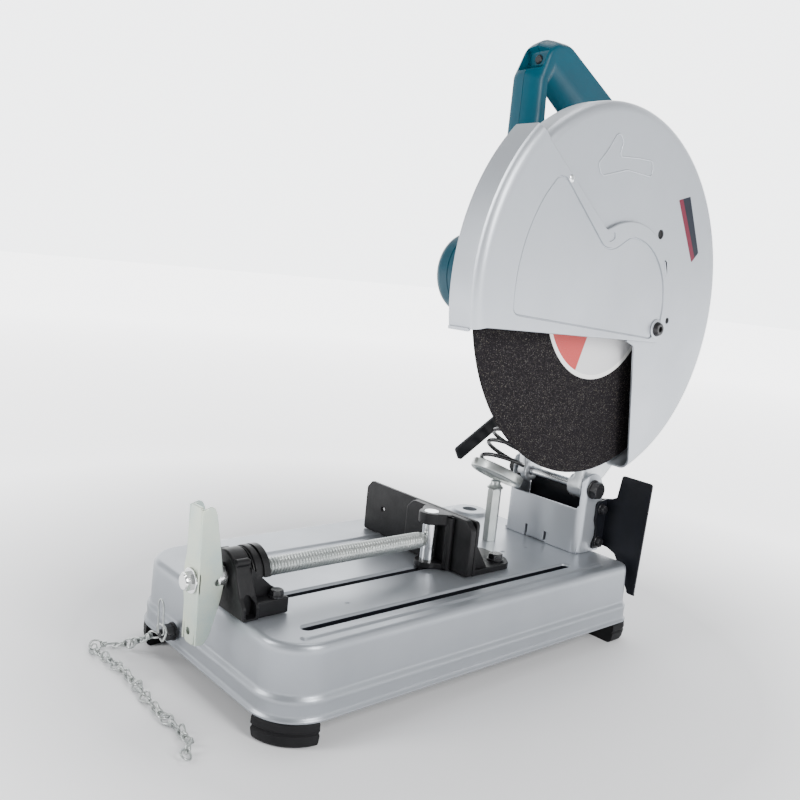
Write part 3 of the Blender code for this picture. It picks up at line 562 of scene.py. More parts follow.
def camera():
    """A camera rolled a little, its lens's centre just off the picture's middle."""
    back = Vector((math.sin(AZIMUTH) * math.cos(ELEVATION), -math.cos(AZIMUTH) * math.cos(ELEVATION),
                   math.sin(ELEVATION)))
    right = Vector((0, 0, 1)).cross(back).normalized()
    up = back.cross(right)
    across = right * math.cos(ROLL) + up * math.sin(ROLL)
    upward = up * math.cos(ROLL) - right * math.sin(ROLL)
    data = bpy.data.cameras.new("camera")
    data.sensor_width = 36.0
    data.lens = FOCAL_PX * data.sensor_width / PICTURE
    data.shift_x = (PICTURE / 2 - PRINCIPAL[0]) / PICTURE
    data.shift_y = (PRINCIPAL[1] - PICTURE / 2) / PICTURE
    data.clip_start = 0.02
    obj = linked("camera", data)
    turn = Matrix((across, upward, back)).transposed().to_4x4()
    obj.matrix_world = Matrix.Translation(world(CAMERA_AT)) @ turn
    bpy.context.scene.camera = obj


def area_light(name, at, target, size, power):
    """A soft panel aimed at a target, in metres and watts."""
    data = bpy.data.lights.new(name, "AREA")
    data.shape = "RECTANGLE"
    data.size, data.size_y = size
    data.energy = power
    obj = linked(name, data)
    obj.location = at
    obj.rotation_euler = (Vector(target) - Vector(at)).to_track_quat("-Z", "Y").to_euler()


FLOOR_GLOW, FAR_GLOW, BACKDROP_GLOW = 2.3, 2.2, 4.4
SIDE_GLOW, TOP_GLOW, CAMERA_GLOW = 1.15, 0.32, 0.55
CEILING_FADE = (0.35, 0.85)                      # rise at which the ceiling begins and ends
FLOOR_HALF = 14.0                                # metres
BACKDROP_WAY = Vector((-0.741, 0.672, 0.0))      # from the camera through the saw


def sky():
    """A white sweep behind the saw, dimmer sides and ceiling, a dim room behind the camera."""
    studio_air = bpy.data.worlds.new("studio")
    studio_air.use_nodes = True
    tree = studio_air.node_tree
    way = tree.nodes.new("ShaderNodeTexCoord").outputs["Generated"]
    facing = vector_node(tree, "DOT_PRODUCT", way, BACKDROP_WAY)
    height = parted(tree, way)["Z"]
    ring = math_node(tree, "ADD", spread(tree, facing, CAMERA_GLOW, SIDE_GLOW, -0.85, -0.15),
                     spread(tree, facing, 0.0, BACKDROP_GLOW - SIDE_GLOW, 0.45, 0.80))
    walls = math_node(tree, "MULTIPLY", ring, spread(tree, height, 1.0, 0.0, *CEILING_FADE))
    over = spread(tree, height, 0.0, TOP_GLOW, *CEILING_FADE)
    back = tree.nodes["Background"]
    back.inputs["Color"].default_value = (0.97, 0.985, 1.0, 1.0)
    tree.links.new(math_node(tree, "ADD", walls, over), back.inputs["Strength"])
    bpy.context.scene.world = studio_air


def studio():
    """A plain pale floor that glows away from the saw, and three soft lights."""
    material, tree, shader, coords = new_material("studio_floor")
    pale = blend_colours(tree, noise(tree, coords, 3, 2.0), (0.85, 0.85, 0.86),
                         (0.88, 0.88, 0.89))
    distance = vector_node(tree, "LENGTH", coords)
    glow = math_node(tree, "ADD", spread(tree, distance, 0.0, FLOOR_GLOW, 0.34, 0.75),
                     spread(tree, distance, 0.0, FAR_GLOW, 0.9, 3.5))
    tree.links.new(pale, shader.inputs["Base Color"])
    tree.links.new(pale, shader.inputs["Emission Color"])
    tree.links.new(glow, shader.inputs["Emission Strength"])
    shader.inputs["Roughness"].default_value = 0.7
    shader.inputs["Specular IOR Level"].default_value = 0.1
    mesh = bpy.data.meshes.new("floor")
    corners = [(u * FLOOR_HALF, v * FLOOR_HALF, 0) for u, v in ((-1, -1), (1, -1), (1, 1), (-1, 1))]
    mesh.from_pydata(corners, [], [(0, 1, 2, 3)])
    mesh.materials.append(material)
    linked("floor", mesh)
    sky()
    area_light("key", (2.0, -0.1, 1.25), (0, 0, 0.3), (0.7, 1.1), 46)
    area_light("front", (-0.7, -1.9, 1.1), (0, 0, 0.3), (0.6, 1.1), 26)
    area_light("top", (-0.3, 0.5, 2.2), (0, 0, 0), (0.8, 0.8), 12)


# ---------------------------------------------------------------- shared small parts

WASHER = 1.6                        # thickness


def hex_head(name, axis, at, face, height, flats, washer=0.0, out=1):
    """A chamfered hexagon head, on a washer of the given radius if there is one."""
    parts, half = [], flats / 2
    if washer:
        profile = [(0, washer - 0.3), (0.25, washer), (1.3, washer), (WASHER, washer - 0.4)]
        parts.append(turned(name + "_washer", axis, at,
                            [(face + depth * out, radius) for depth, radius in profile], 32))
        face += WASHER * out
    profile = [(0, half, 6), (0.78, half, 6), (0.93, half * 0.99), (1, half * 0.86)]
    parts.append(turned(name + "_hex", axis, at,
                        [(face + share * height * out, *section) for share, *section in profile],
                        48))
    return merge(name, parts)


def slot_line(x, y0, y1, width, steps=8):
    """A slot along Y with round ends."""
    half = width / 2
    return arc((x, y1 - half), half, 0, 180, steps) + arc((x, y0 + half), half, 180, 360, steps)


# ---------------------------------------------------------------- base

def pan_line(outward, steps=12):
    """The base's rounded outline, moved outwards by a distance."""
    half_x, half_y = BASE_HALF_X + outward, BASE_HALF_Y + outward
    line = []
    for sx, sy, start in ((1, 1, 0), (-1, 1, 90), (-1, -1, 180), (1, -1, 270)):
        radius = max(2.0, (REAR_CORNER if sy > 0 else FRONT_CORNER) + outward)
        centre = (sx * (half_x - radius), sy * (half_y - radius))
        line += arc(centre, radius, start, start + 90, steps)
    return line


SHADE_SKIN, SHADE_SKIN_GAP = 0.9, 0.15        # the painted-shade skin's thickness and its distance from the pan


def pan_painted_shade(inside):
    """Painted shade: a dark skin under the pan, following its inner profile (outward, height),
    standing in for the shadow inside the silver pan.
    """
    skin = [(out, z + 0.4 if z < 22 else z) for out, z in inside]
    rings = []
    for thick, levels in ((SHADE_SKIN, skin[::-1]), (0.0, skin)):
        for out, z in levels:
            drop = SHADE_SKIN_GAP + thick if out < -5 else 0
            rings.append([(x, y, z - drop) for x, y in pan_line(out - SHADE_SKIN_GAP - thick)])
    return loft("pan_painted_shade", rings)


def embossed_rib(name, x, y0, y1, width, height):
    """A pressed rib: its sides rise smoothly out of the top."""
    rings = []
    for share, lift in ((1.0, -1.2), (1.0, 0.02), (0.82, 0.18), (0.62, 0.62), (0.44, 0.92),
                        (0.26, 1.0)):
        grow = width * share
        line = slot_line(x, y0 - grow / 2 + width / 2, y1 + grow / 2 - width / 2, grow)
        rings.append([(u, v, BASE_TOP + lift * height) for u, v in line])
    return loft(name, rings)


def base_pan():
    """The pressed pan: ribs, a boss, two slots and dimples in its top, and a dark painted-shade skin
    under it.
    """
    outside = [(5.2, 21.0), (5.9, 21.5), (6.1, 22.4), (5.9, 23.2), (4.9, 24.0), (4.1, 25.2),
               (3.8, 27.0), (3.8, 33.0), (4.1, 35.0), (4.2, 36.6), (3.9, 38.2), (3.1, 39.6),
               (2.1, 40.6), (1.5, 41.8), (1.2, 43.6), (0.35, 73.0), (0.15, 76.0), (-0.4, 78.6),
               (-1.5, 80.6), (-3.2, 81.8), (-5.2, 82.2)]
    inside = [(2.6, 21.0), (1.7, 24.0), (1.6, 36.0), (0.9, 38.2), (-0.9, 40.4), (-1.3, 44.0),
              (-2.2, 72.0), (-3.4, 76.4), (-5.6, 78.9), (-8.5, 79.8)]
    rings = [[(x, y, z) for x, y in pan_line(out)] for out, z in inside[::-1] + outside]
    pan = loft("base_shell", rings)
    fuse(pan, embossed_rib("rib_right", 109.5, -196, 186, 9, 1.5),
         embossed_rib("rib_left", -68, -150, 40, 10, 1.6),
         turned("boss", "Z", BOSS_AT, [(81, 25), (82.22, 25), (82.6, 24), (84.6, 21.6),
                                          (85.6, 20.4), (86.0, 18.5)], 56))
    tools, shade_collars = [], []
    for name, x, y0, y1, width in (("kerf", WHEEL_X, -183, 150, 9), ("guide", 30, -160, 22, 9)):
        levels = ((70, 0), (80.2, 0), (81.2, 0.5), (81.9, 1.4), (83, 3.2))
        tools.append(loft(name, [[(u, v, z) for u, v in slot_line(x, y0 - grow, y1 + grow,
                                                                  width + 2 * grow)]
                                 for z, grow in levels]))
        # Dark collars under each slot's edge are painted shade, so the slots read dark inside.
        shade_collars.append(prism(name + "_collar", "Z",
                             slot_line(x, y0 - 1.0, y1 + 1.0, width + 2.0), 73.5, 79.3))
    for name, at, radius in (("boss_hole", BOSS_AT, 9.0), ("post_hole", POST_AT, 5.0)):
        tools.append(turned(name, "Z", at, [(74, radius), (90, radius)], 32))
    for name, at, radius in (("dimple_a", (33.9, 115), 3.2), ("dimple_b", (35.4, 150.3), 2.6),
                             ("dimple_c", (69, -120), 2.6)):
        tools.append(turned(name, "Z", at, [(81.4, radius * 0.35), (81.7, radius * 0.7),
                                            (82.4, radius * 1.1)], 20))
    copies = [linked(tool.name + "_twin", tool.data.copy()) for tool in tools]
    shade_skin = pan_painted_shade(inside)
    cut(pan, *tools)
    fuse(shade_skin, *shade_collars)
    cut(shade_skin, *copies)
    # Black paint on the skin and its collars is painted shade for the pan's shadowed inside.
    dress(shade_skin, BLACK_PAINT, "base", "base_pan", stands=False, sharp=40)
    dress(pan, SILVER, "base", "base_pan", sharp=40)


FOOT_LIP, REAR_FOOT = 5.2, 14      # reach past the pan's corner, and along its sides at the rear


def feet():
    """Rubber corner feet: a spreading sole, a groove and a lip against the pan's rim."""
    tiers = [(0, -4.4), (0.5, -2.8), (1.6, -1.4), (3.5, -0.4), (9.8, 0.9), (10.8, 0.7), (11.6, -0.4),
             (12.6, -0.4), (13.4, 0.5), (14.4, 1.0), (19.6, 0.6), (20.7, -0.4)]
    for side_x, sx in (("left", -1), ("right", 1)):
        for side_y, sy, corner, turn in (("front", -1, FRONT_CORNER, 7),
                                         ("rear", 1, REAR_CORNER, 0)):
            cx, cy = BASE_HALF_X - corner, BASE_HALF_Y - corner
            rings = []
            for z, grow in tiers:
                radius = corner + FOOT_LIP + grow
                line = arc((cx, cy), radius, turn, 90 - turn, 20)
                if side_y == "rear":
                    line = [(cx + radius, cy - REAR_FOOT)] + line
                    line += [(cx - REAR_FOOT, cy + radius), (cx - REAR_FOOT, cy - REAR_FOOT)]
                else:
                    line += [(cx + 5, cy + 18), (cx + 9, cy + 9), (cx + 18, cy + 5)]
                rings.append([(sx * x, sy * y, z) for x, y in line])
            name = "foot_{}_{}".format(side_y, side_x)
            dress(loft("rubber_" + name, rings), RUBBER, "base", name)


def hinge_bracket():
    """Folded sheet: a front wall, two cheeks up to the hinge, and a dark plate behind them."""
    x0, x1, y0, y1, sheet = -29.0, 77.0, 184.0, 223.6, 3.4
    outer = rounded([(x1, y1, 0), (x0, y1, 0), (x0, y0, 9), (x1, y0, 9)], 8)
    inner = rounded([(x1 - sheet, y1 + 9, 0), (x0 + sheet, y1 + 9, 0), (x0 + sheet, y0 + sheet, 5.6),
                     (x1 - sheet, y0 + sheet, 5.6)], 8)
    shell = prism("bracket_shell", "Z", outer, 82.4, 176)
    cut(shell, prism("bracket_inside", "Z", inner, 80, 180))
    profile = rounded([(y1, 82.3, 0), (y1, 117, 8)] + fixed(arc(HINGE_AXIS, 17.0, 8, 168, 18))
                      + [(186.0, 134.0, 4), (180, 131.8, 0), (180, 82.3, 0)])
    combine(shell, "INTERSECT", [prism("bracket_side", "X", profile, x0 - 6, x1 + 6)])
    gap = rounded([(x0 + 5, 131.5, 5), (x1 - 5, 131.5, 5), (x1 - 5, 190, 0), (x0 + 5, 190, 0)], 5)
    cut(shell, prism("bracket_gap", "Y", gap, y0 - 4, y0 + 9))
    cut(shell, turned("eye", "X", HINGE_AXIS, [(x0 - 9, 5.4), (x1 + 9, 5.4)], 32),
        box("lance_left", (3.2, y0 - 3, 81), (6.2, y0 + 8, 96), 0.4),
        box("lance_right", (30.4, y0 - 3, 81), (33.8, y0 + 8, 95), 0.4),
        box("tab_gap", (6.0, y0 - 3, 82), (30.6, y0 + 8, 84.2), 0.3))
    soften(shell, 0.7, 2, 40)
    floor = box("bracket_floor", (x0 + 1, y0 + 2, 82.5), (x1 - 1, y1 - 1, 85.2), 0.6)
    back = box("bracket_back", (x0 + 4, y1 - 4.4, 85.3), (x1 - 4, y1 - 2.4, 145), 0.5)
    dress(back, BLACK_PAINT, "base", "hinge_bracket", stands=False)
    dress(merge("bracket_plate", [shell, floor]), GUARD_PAINT, "base", "hinge_bracket")


def hinge_pin():
    """The steel rod the head turns on, its bolt head and its nut."""
    rod = turned("pivot_rod", "X", HINGE_AXIS, [(-41, 4.2), (-40, 5.0), (77.2, 5.0)], 40)
    dress(rod, STEEL, "base", "hinge_shaft")
    head = hex_head("pivot_head", "X", HINGE_AXIS, 77.3, 8.0, 17, washer=10.5)
    dress(head, BLACK_OXIDE, "base", "hinge_shaft", stands=False)
    nut = hex_head("pivot_nut", "X", HINGE_AXIS, -29.3, 7.5, 16, washer=10.0, out=-1)
    dress(nut, BLACK_OXIDE, "base", "hinge_nut")


def leaned(along, radius, turn):
    """A point round the return spring's tilted axis."""
    across = radius * math.sin(turn)
    return (SPRING_FOOT[0] + radius * math.cos(turn),
            SPRING_FOOT[1] + along * math.sin(SPRING_LEAN) + across * math.cos(SPRING_LEAN),
            SPRING_FOOT[2] + along * math.cos(SPRING_LEAN) - across * math.sin(SPRING_LEAN))


def leaned_solid(name, profile, count=56, bored=False, centre=(0.0, 0.0)):
    """A body of revolution along the spring's axis, or beside it."""
    rings = []
    for along, radius in profile:
        ring = [polar(centre, radius, 360 * i / count) for i in range(count)]
        rings.append([leaned(along, math.hypot(u, v), math.atan2(v, u)) for u, v in ring])
    return loft(name, rings, closed=bored)


def stop_post():
    """The hex post under the spring's seat, with its flanged nut."""
    post = merge("stop_post_body", [
        turned("post_hex", "Z", POST_AT, [(82.5, 6.7, 6), (140, 6.7, 6), (141.2, 6.5)], 48),
        turned("post_flange", "Z", POST_AT, [(141.2, 6.4), (141.6, 8.6), (143.0, 9.0),
                                             (144.4, 7.4), (146.5, 5.6), (149.8, 5.2)], 40)])
    dress(post, ZINC, "base", "stop_post")


def spring_seat():
    """The tilted dish under the spring, with five holes."""
    seat = leaned_solid("seat_disc", [(-5, 24.0), (-5, 27.8), (-4.2, 29.0), (-2.6, 29.5), (3.6, 29.5),
                                      (4.6, 29.0), (5, 28.0), (5, 25.4), (2.2, 24.6), (2.2, 0.3),
                                      (-2.4, 0.3), (-2.4, 23.2)], bored=True)
    cut(seat, *[leaned_solid("seat_hole", [(-9, 3.0), (-0.4, 3.0)], 20,
                             centre=polar((0, 0), 15, 72 * (k + 0.3))) for k in range(5)])
    dress(seat, ZINC, "base", "spring_seat")


def return_spring():
    """The wound wire, its end coils closed up, stretched between the base and the head."""
    wire, mean, turns, low, high = 2.3, 22.8, 6.0, 7.4, 87.6
    first_closed, last_closed = 1.6, 1.2             # turns over which the end coils lie flatter
    count = int(turns * 32)
    route = []
    for i in range(count + 1):
        t = i / count
        opened = (1 - math.cos(math.pi * min(1.0, t * turns / first_closed))) / 2
        closing = (1 - math.cos(math.pi * min(1.0, (1 - t) * turns / last_closed))) / 2
        rise = low + (high - low) * (t - 0.077 * (1 - opened) + 0.03 * (1 - closing))
        route.append(leaned(max(rise, low), mean * (1.0 - 0.08 * t), 2 * math.pi * turns * t + 0.5))
    spring = tube("return_coil", route, wire, 12)
    spring.data.shade_smooth()
    spring.data.materials.append(SPRING_STEEL)
    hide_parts("return_spring")
    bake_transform(spring)


def spark_plate():
    """The sheet behind the wheel, its folded lip and the tab that bolts to the bracket."""
    outline = rounded([(46, 91, 3), (88, 88, 4), (98, 84, 4), (119, 50, 0), (119.5, 47, 1),
                       (128.5, 47, 1), (132.6, 171, 3), (95, 171.6, 3), (91.5, 146, 2),
                       (86, 143, 4), (46, 134, 3)], 4)
    plate = prism("spark_sheet", "Y", outline, 225.2, 227.4, 0.3, 0.3, 2)
    lip = prism("spark_lip", "X", rounded([(225.4, 49.5, 0), (227.3, 49.5, 0), (229.0, 46.2, 0.5),
                                           (227.2, 45.4, 0.5)], 2), 119.8, 128.2, 0.3, 0.3, 2)
    tab = prism("spark_tab", "X", rounded([(208.5, 139, 5), (208.5, 118, 4), (212, 110, 5),
                                           (212, 100, 5), (208.5, 92, 5), (209, 86, 2), (226, 86, 0),
                                           (226, 141, 0)], 5), 77.3, 79.8, 0.4, 0.4, 3)
    bolts = [hex_head("tab_bolt", "X", at, 79.9, 4.4, 8.5, washer=6.0)
             for at in ((215.5, 94), (215.5, 131))]
    dress(merge("tab_bolts", bolts), BLACK_OXIDE, "base", "spark_plate", stands=False)
    dress(merge("spark_guard", [plate, lip, tab]), BLACK_PAINT, "base", "spark_plate")


def nut_block():
    """Casting that carries the screw: an arched body with buttresses on a bolted foot."""
    u = SCREW_AXIS[0]
    arch = rounded([(u + 34, 82.5, 0), (u + 34, 93, 4), (u + 27.5, 100, 6)]
                   + fixed(arc(SCREW_AXIS, 21.5, 6, 174, 20))
                   + [(u - 27.5, 100, 6), (u - 34, 93, 4), (u - 34, 82.5, 0)], 4)
    body = prism("block_body", "Y", arch, -219.5, -204, 1.6, 1.2, 4)
    foot = box("block_foot", (u - 33.5, -206, 82.7), (u + 33.5, -176, 96), 1.6)
    hollow = rounded([(-216.5, 84, 2), (-207, 84, 2), (-207, 96, 3), (-212, 104, 3),
                      (-216.5, 98, 2)], 4)
    cut(body, turned("bore", "Y", SCREW_AXIS, [(-230, SCREW_BORE), (-190, SCREW_BORE)], 32),
        *[prism("block_hollow", "X", hollow, *span)
          for span in ((u - 40, u - 25), (u + 25, u + 40))])
    neck = turned("block_neck", "Y", SCREW_AXIS,
                  [(-206, 19.5), (-203.2, 19.0), (-202.6, 20.6), (-201.8, 20.8),
                   (-201.8, SCREW_BORE), (-206, SCREW_BORE)], 48, bored=True)
    rib = [(-206, 94), (-178.5, 94), (-178.5, 98.5), (-186, 103), (-206, 121)]
    ribs = [prism("block_rib", "X", rib, u + x - 2.6, u + x + 2.6, 0.9, 0.9, 3) for x in (-19, 19)]
    beads = [turned("block_bead", "Y", polar(SCREW_AXIS, 21, turn),
                    [(-219, 2.2), (-217.5, 3.6), (-207, 3.6), (-205, 2.4)], 20)
             for turn in (138, 42)]
    dress(merge("block_casting", [body, foot, neck] + ribs + beads), BLACK_CAST, "base", "nut_block")
    for side, x in (("left", u - 28), ("right", u + 28)):
        bolt = hex_head("block_screw_" + side, "Z", (x, -185), 96.1, 4.6, 10, washer=6.6)
        dress(bolt, BLACK_OXIDE, "base", "nut_block_bolt_" + side)


# ---------------------------------------------------------------- hold-down chain

CHAIN_ROUTE = [(-48, -236, 33), (-62, -239, 24), (-84, -243, 11), (-100, -250, 4.5),
               (-108, -262, 4.2), (-100, -269, 4.2), (-80, -266, 4.2), (-52, -264, 4.2),
               (-22, -264, 4.2), (8, -267, 4.2), (38, -267, 4.2), (66, -266, 4.2), (82, -270, 4.2),
               (95, -280, 4.2)]
LINK_PITCH, LINK_WIRE = 20.5, 0.85


def smooth_route(knots, steps):
    """Points along a Catmull-Rom curve through the knots."""
    ends = [knots[0]] + knots + [knots[-1]]
    route = []
    for a, b, c, d in zip(ends, ends[1:], ends[2:], ends[3:]):
        a, b, c, d = Vector(a), Vector(b), Vector(c), Vector(d)
        for i in range(steps):
            t = i / steps
            route.append(0.5 * (2 * b + (c - a) * t + (2 * a - 5 * b + 4 * c - d) * t ** 2
                                + (3 * b - a - 3 * c + d) * t ** 3))
    return route + [Vector(knots[-1])]


def rest_on_floor(route):
    """A wire's route, lifted wherever it would dip below the floor."""
    return [Vector((p[0], p[1], max(p[2], LINK_WIRE + 0.1))) for p in route]


def knotted_link(middle, ahead, roll, reach):
    """Two crossed loops, fore and aft of a waist with the wire wound round it."""
    side = ahead.cross(Vector((0, 0, 1))).normalized()
    over = side.cross(ahead)
    first = side * math.cos(roll) + over * math.sin(roll)
    second = over * math.cos(roll) - side * math.sin(roll)
    parts = []
    for direction, wide in ((1, first), (-1, second)):
        loop = []
        for i in range(24):
            turn = 2 * math.pi * i / 24
            bulge = 1.0 - 0.25 * math.cos(turn)
            loop.append(middle + ahead * direction * reach * (1 - math.cos(turn))
                        + wide * 4.3 * math.sin(turn) * bulge)
        parts.append(tube("loop", rest_on_floor(loop), LINK_WIRE, 8, closed=True))
    waist = [middle + ahead * (-2.4 + 4.8 * i / 48)
             + (first * math.cos(math.pi * i / 8) + second * math.sin(math.pi * i / 8)) * 1.9
             for i in range(49)]
    parts.append(tube("waist", rest_on_floor(waist), LINK_WIRE, 8))
    return parts


def chain():
    """The knotted hold-down chain, laid from its clip down to the floor."""
    route = smooth_route(CHAIN_ROUTE, 10)
    lengths = [0.0]
    for a, b in zip(route, route[1:]):
        lengths.append(lengths[-1] + (b - a).length)
    total = lengths[-1]

    def along(distance):
        """The point at a distance along the route."""
        distance = min(max(distance, 0.0), total - 1e-6)
        k = next(i for i, far in enumerate(lengths) if far > distance) - 1
        share = (distance - lengths[k]) / (lengths[k + 1] - lengths[k])
        return route[k].lerp(route[k + 1], share)

    links = round(total / LINK_PITCH)
    pitch = total / links
    parts = []
    for n in range(links):
        ahead = (along((n + 1) * pitch) - along(n * pitch)).normalized()
        roll = math.radians(38 + 30 * math.sin(n * 2.4))
        parts += knotted_link(along((n + 0.5) * pitch), ahead, roll, pitch / 4 + 0.9)
    links_mesh = merge("hold_chain", parts)
    dress(links_mesh, ZINC, "base", "chain", sharp=80)
    return total


def chain_fittings():
    """The bolt in the base's front wall, the ring on it and the chain's wire clip."""
    x, z = -40.0, 36.0
    bolt = merge("anchor_bolt", [
        turned("anchor_washer", "Y", (x, z), [(-223.9, 8.2), (-225.4, 8.2), (-225.6, 7.8)], 32),
        turned("anchor_head", "Y", (x, z), [(-225.5, 6.3, 6), (-231.4, 6.3, 6), (-232.6, 5.9)], 48),
        turned("anchor_end", "Y", (x, z), [(-232.4, 4.0), (-236.4, 4.0), (-237.2, 3.4)], 32)])
    dress(bolt, BLACK_OXIDE, "base", "chain_bolt")
    ring = [(x + 7.8 * math.cos(t), -235.0 + 1.0 * math.sin(2 * t), z + 1 + 7.2 * math.sin(t))
            for t in [2 * math.pi * k / 28 for k in range(28)]]
    hoop = tube("anchor_ring", ring, 0.95, 8, closed=True)
    pin = [(x + 1.5, -238.6, z + 2)]
    pin += [(x + 1.5, -239.0 - 0.2 * k, z + 8 + 5.2 * k) for k in range(4)]
    pin += [(x + 6.5 + 5.0 * math.cos(t), -239.9, z + 27 + 7.5 * math.sin(t))
            for t in [math.pi * (1 - k / 12) for k in range(13)]]
    pin += [(x + 11.5, -239.7, z + 20), (x + 11.2, -239.3, z + 12), (x + 12.2, -239.0, z + 6),
            (x + 9.2, -238.8, z + 3)]
    clip = tube("spring_clip", smooth_route(pin, 3), 0.75, 8)
    dress(merge("clip_and_ring", [hoop, clip]), ZINC, "base", "chain_clip", sharp=80)


# ---------------------------------------------------------------- vise and fence

def screw():
    """The threaded rod: a helical ridge on its core, with a chamfered end at the jaw."""
    pitch, core, crest, start, stop, facets = SCREW_PITCH, 6.8, 8.0, -241.0, -1.6, 28
    profile = [(0.0, core), (0.30, core + 0.15), (0.46, crest - 0.1), (0.54, crest),
               (0.62, crest - 0.1), (0.80, core + 0.15)]
    turns = int((stop - start) / pitch) - 1
    points, faces = [], []
    for j in range(turns * facets + 1):
        turn = 2 * math.pi * (j % facets) / facets
        fade = min(1.0, j / facets, (turns * facets - j) / facets)
        for share, radius in profile + [(1.0, core)]:
            r = core + (radius - core) * fade
            points.append((SCREW_AXIS[0] + r * math.cos(turn), start + pitch * (j / facets + share),
                           SCREW_AXIS[1] + r * math.sin(turn)))
    width = len(profile) + 1
    for j in range(turns * facets):
        for k in range(width - 1):
            a = j * width + k
            faces.append((a, a + 1, a + 1 + width, a + width))
    thread = solid("thread", points, faces)
    rod = turned("rod_core", "Y", SCREW_AXIS,
                 [(-243, 5.6), (-242.4, 6.6), (-240, 6.84), (-1.4, 6.84), (-0.6, 6.4),
                  (0.0, 5.8)], 40)
    dress(merge("vise_rod", [rod, thread]), ZINC, "vise_screw", "vise_screw", sharp=60)


LEVER_SHEET = 2.2


def lever():
    """Pressed channel lever, wider round its bolt, its flanges folded back on both sides."""
    u, w = SCREW_AXIS
    y0, low, high = -247.2, -52.0, 61.5
    web = rounded([(u - 5.6, w + low, 3), (u + 8.0, w + low, 3), (u + 10.6, w - 22, 12),
                   (u + 11.0, w - 8, 8), (u + 11.0, w + 8, 8), (u + 10.6, w + 22, 12),
                   (u + 9.0, w + high, 2.5), (u - 7.8, w + high, 2.5), (u - 9.6, w + 24, 20),
                   (u - 13.2, w + 9, 8), (u - 13.2, w - 9, 8), (u - 9.6, w - 24, 20)], 5)
    plate = prism("lever_web", "Y", web, y0, y0 + LEVER_SHEET, 0.8, 0.0, 4)
    flange = rounded([(y0 + 0.5, w + low + 1, 0), (y0 + 8, w + low, 4), (y0 + 13, w + low + 8, 10),
                      (y0 + 21, w - 16, 14), (y0 + 23, w - 4, 8), (y0 + 21.5, w + 8, 12),
                      (y0 + 13.5, w + high - 6, 8), (y0 + 10, w + high + 1, 4),
                      (y0 + 0.5, w + high - 2, 0)], 5)
    sides = []
    for name, x in (("lever_side_left", u - 11.2), ("lever_side_right", u + 8.8)):
        side = prism(name, "X", flange, x, x + LEVER_SHEET, 0.5, 0.7, 3)
        cut(side, turned("side_hole", "X", (y0 + 17.5, w - 1), [(x - 3, 3.1), (x + 5, 3.1)], 24))
        sides.append(side)
    cut(plate, turned("tail_hole", "Y", (u - 0.5, w - 42), [(y0 - 3, 3.2), (y0 + 6, 3.2)], 24))
    dress(merge("lever_channel", [plate] + sides), LEVER_ZINC, "vise_screw", "vise_lever", sharp=30)
    bolt = merge("lever_screw", [
        turned("lever_washer", "Y", (u, w), [(-247.4, 10.4), (-248.6, 10.4), (-249.0, 9.8)], 40),
        turned("lever_hex", "Y", (u, w), [(-248.8, 6.6, 6), (-253.6, 6.6, 6), (-254.8, 5.9)], 48),
        turned("lever_collar", "Y", (u, w), [(-228.8, 10.0), (-227.6, 11.6), (-222.0, 11.6),
                                             (-220.8, 10.4)], 40)])
    dress(bolt, BRIGHT_ZINC, "vise_screw", "lever_bolt")


def vise_nut():
    """Half nut with a groove round its back, hinged beside the screw."""
    line = arc(SCREW_AXIS, 22.0, 2, 178, 24) + arc(SCREW_AXIS, SCREW_BORE, 178, 2, 16)
    nut = prism("flip_nut", "Y", line, -201.4, -187.2, 1.0, 1.0, 4)
    cut(nut, turned("nut_groove", "Y", SCREW_AXIS, [(-196.0, 23), (-196.0, 20.2), (-193.6, 20.2),
                                                    (-193.6, 23)], 48, bored=True))
    dress(nut, BLACK_CAST, "vise_nut", "vise_nut")


def jaw():
    """Cast jaw: a face plate with a lobe above and below its swivel pin."""
    u, pin_y = SCREW_AXIS[0], 8.0
    lobe = rounded(fixed(arc((u, pin_y), 12.5, 188, 352, 24))
                   + [(u + 20, 15, 6), (u + 20, 20, 0), (u - 20, 20, 0), (u - 20, 15, 6)], 4)
    top = prism("jaw_top", "Z", lobe, 127.2, 138.0, 1.0, 1.6, 4)
    foot = prism("jaw_foot", "Z", lobe, 83.4, 88.8, 0.8, 1.0, 4)
    web = box("jaw_web", (u - 20, 16.6, 84), (u + 20, 20, 136), 1.2)
    face = prism("jaw_face", "Y",
                 rounded([(-18, 83.4, 3), (76, 83.4, 3), (76, 130, 6), (68, 137.8, 6),
                          (-10, 137.8, 6), (-18, 130, 6)], 5), 17.5, 24.5, 1.4, 0.8, 4)
    cheek = prism("jaw_cheek", "Z", rounded([(u + 15, 12, 3), (u + 23, 12, 4), (u + 31, 19, 4),
                                             (u + 15, 19, 0)], 4), 84.5, 136.8, 0.8, 1.2, 3)
    dress(merge("jaw_casting", [top, foot, web, face, cheek]), BLACK_CAST, "jaw", "vise_jaw")
    tongue = box("jaw_tongue", (26.6, -1, 77), (33.4, 15, 85), 0.6)
    dress(tongue, BLACK_CAST, "jaw", "vise_jaw", stands=False)
    pin = turned("swivel_pin", "Z", (u, pin_y),
                 [(85.4, 7.0), (86.2, 7.5), (137.4, 7.5), (138.2, 6.8), (138.2, 0.4)], 64)
    dress(pin, STEEL, "jaw", "jaw_pin")


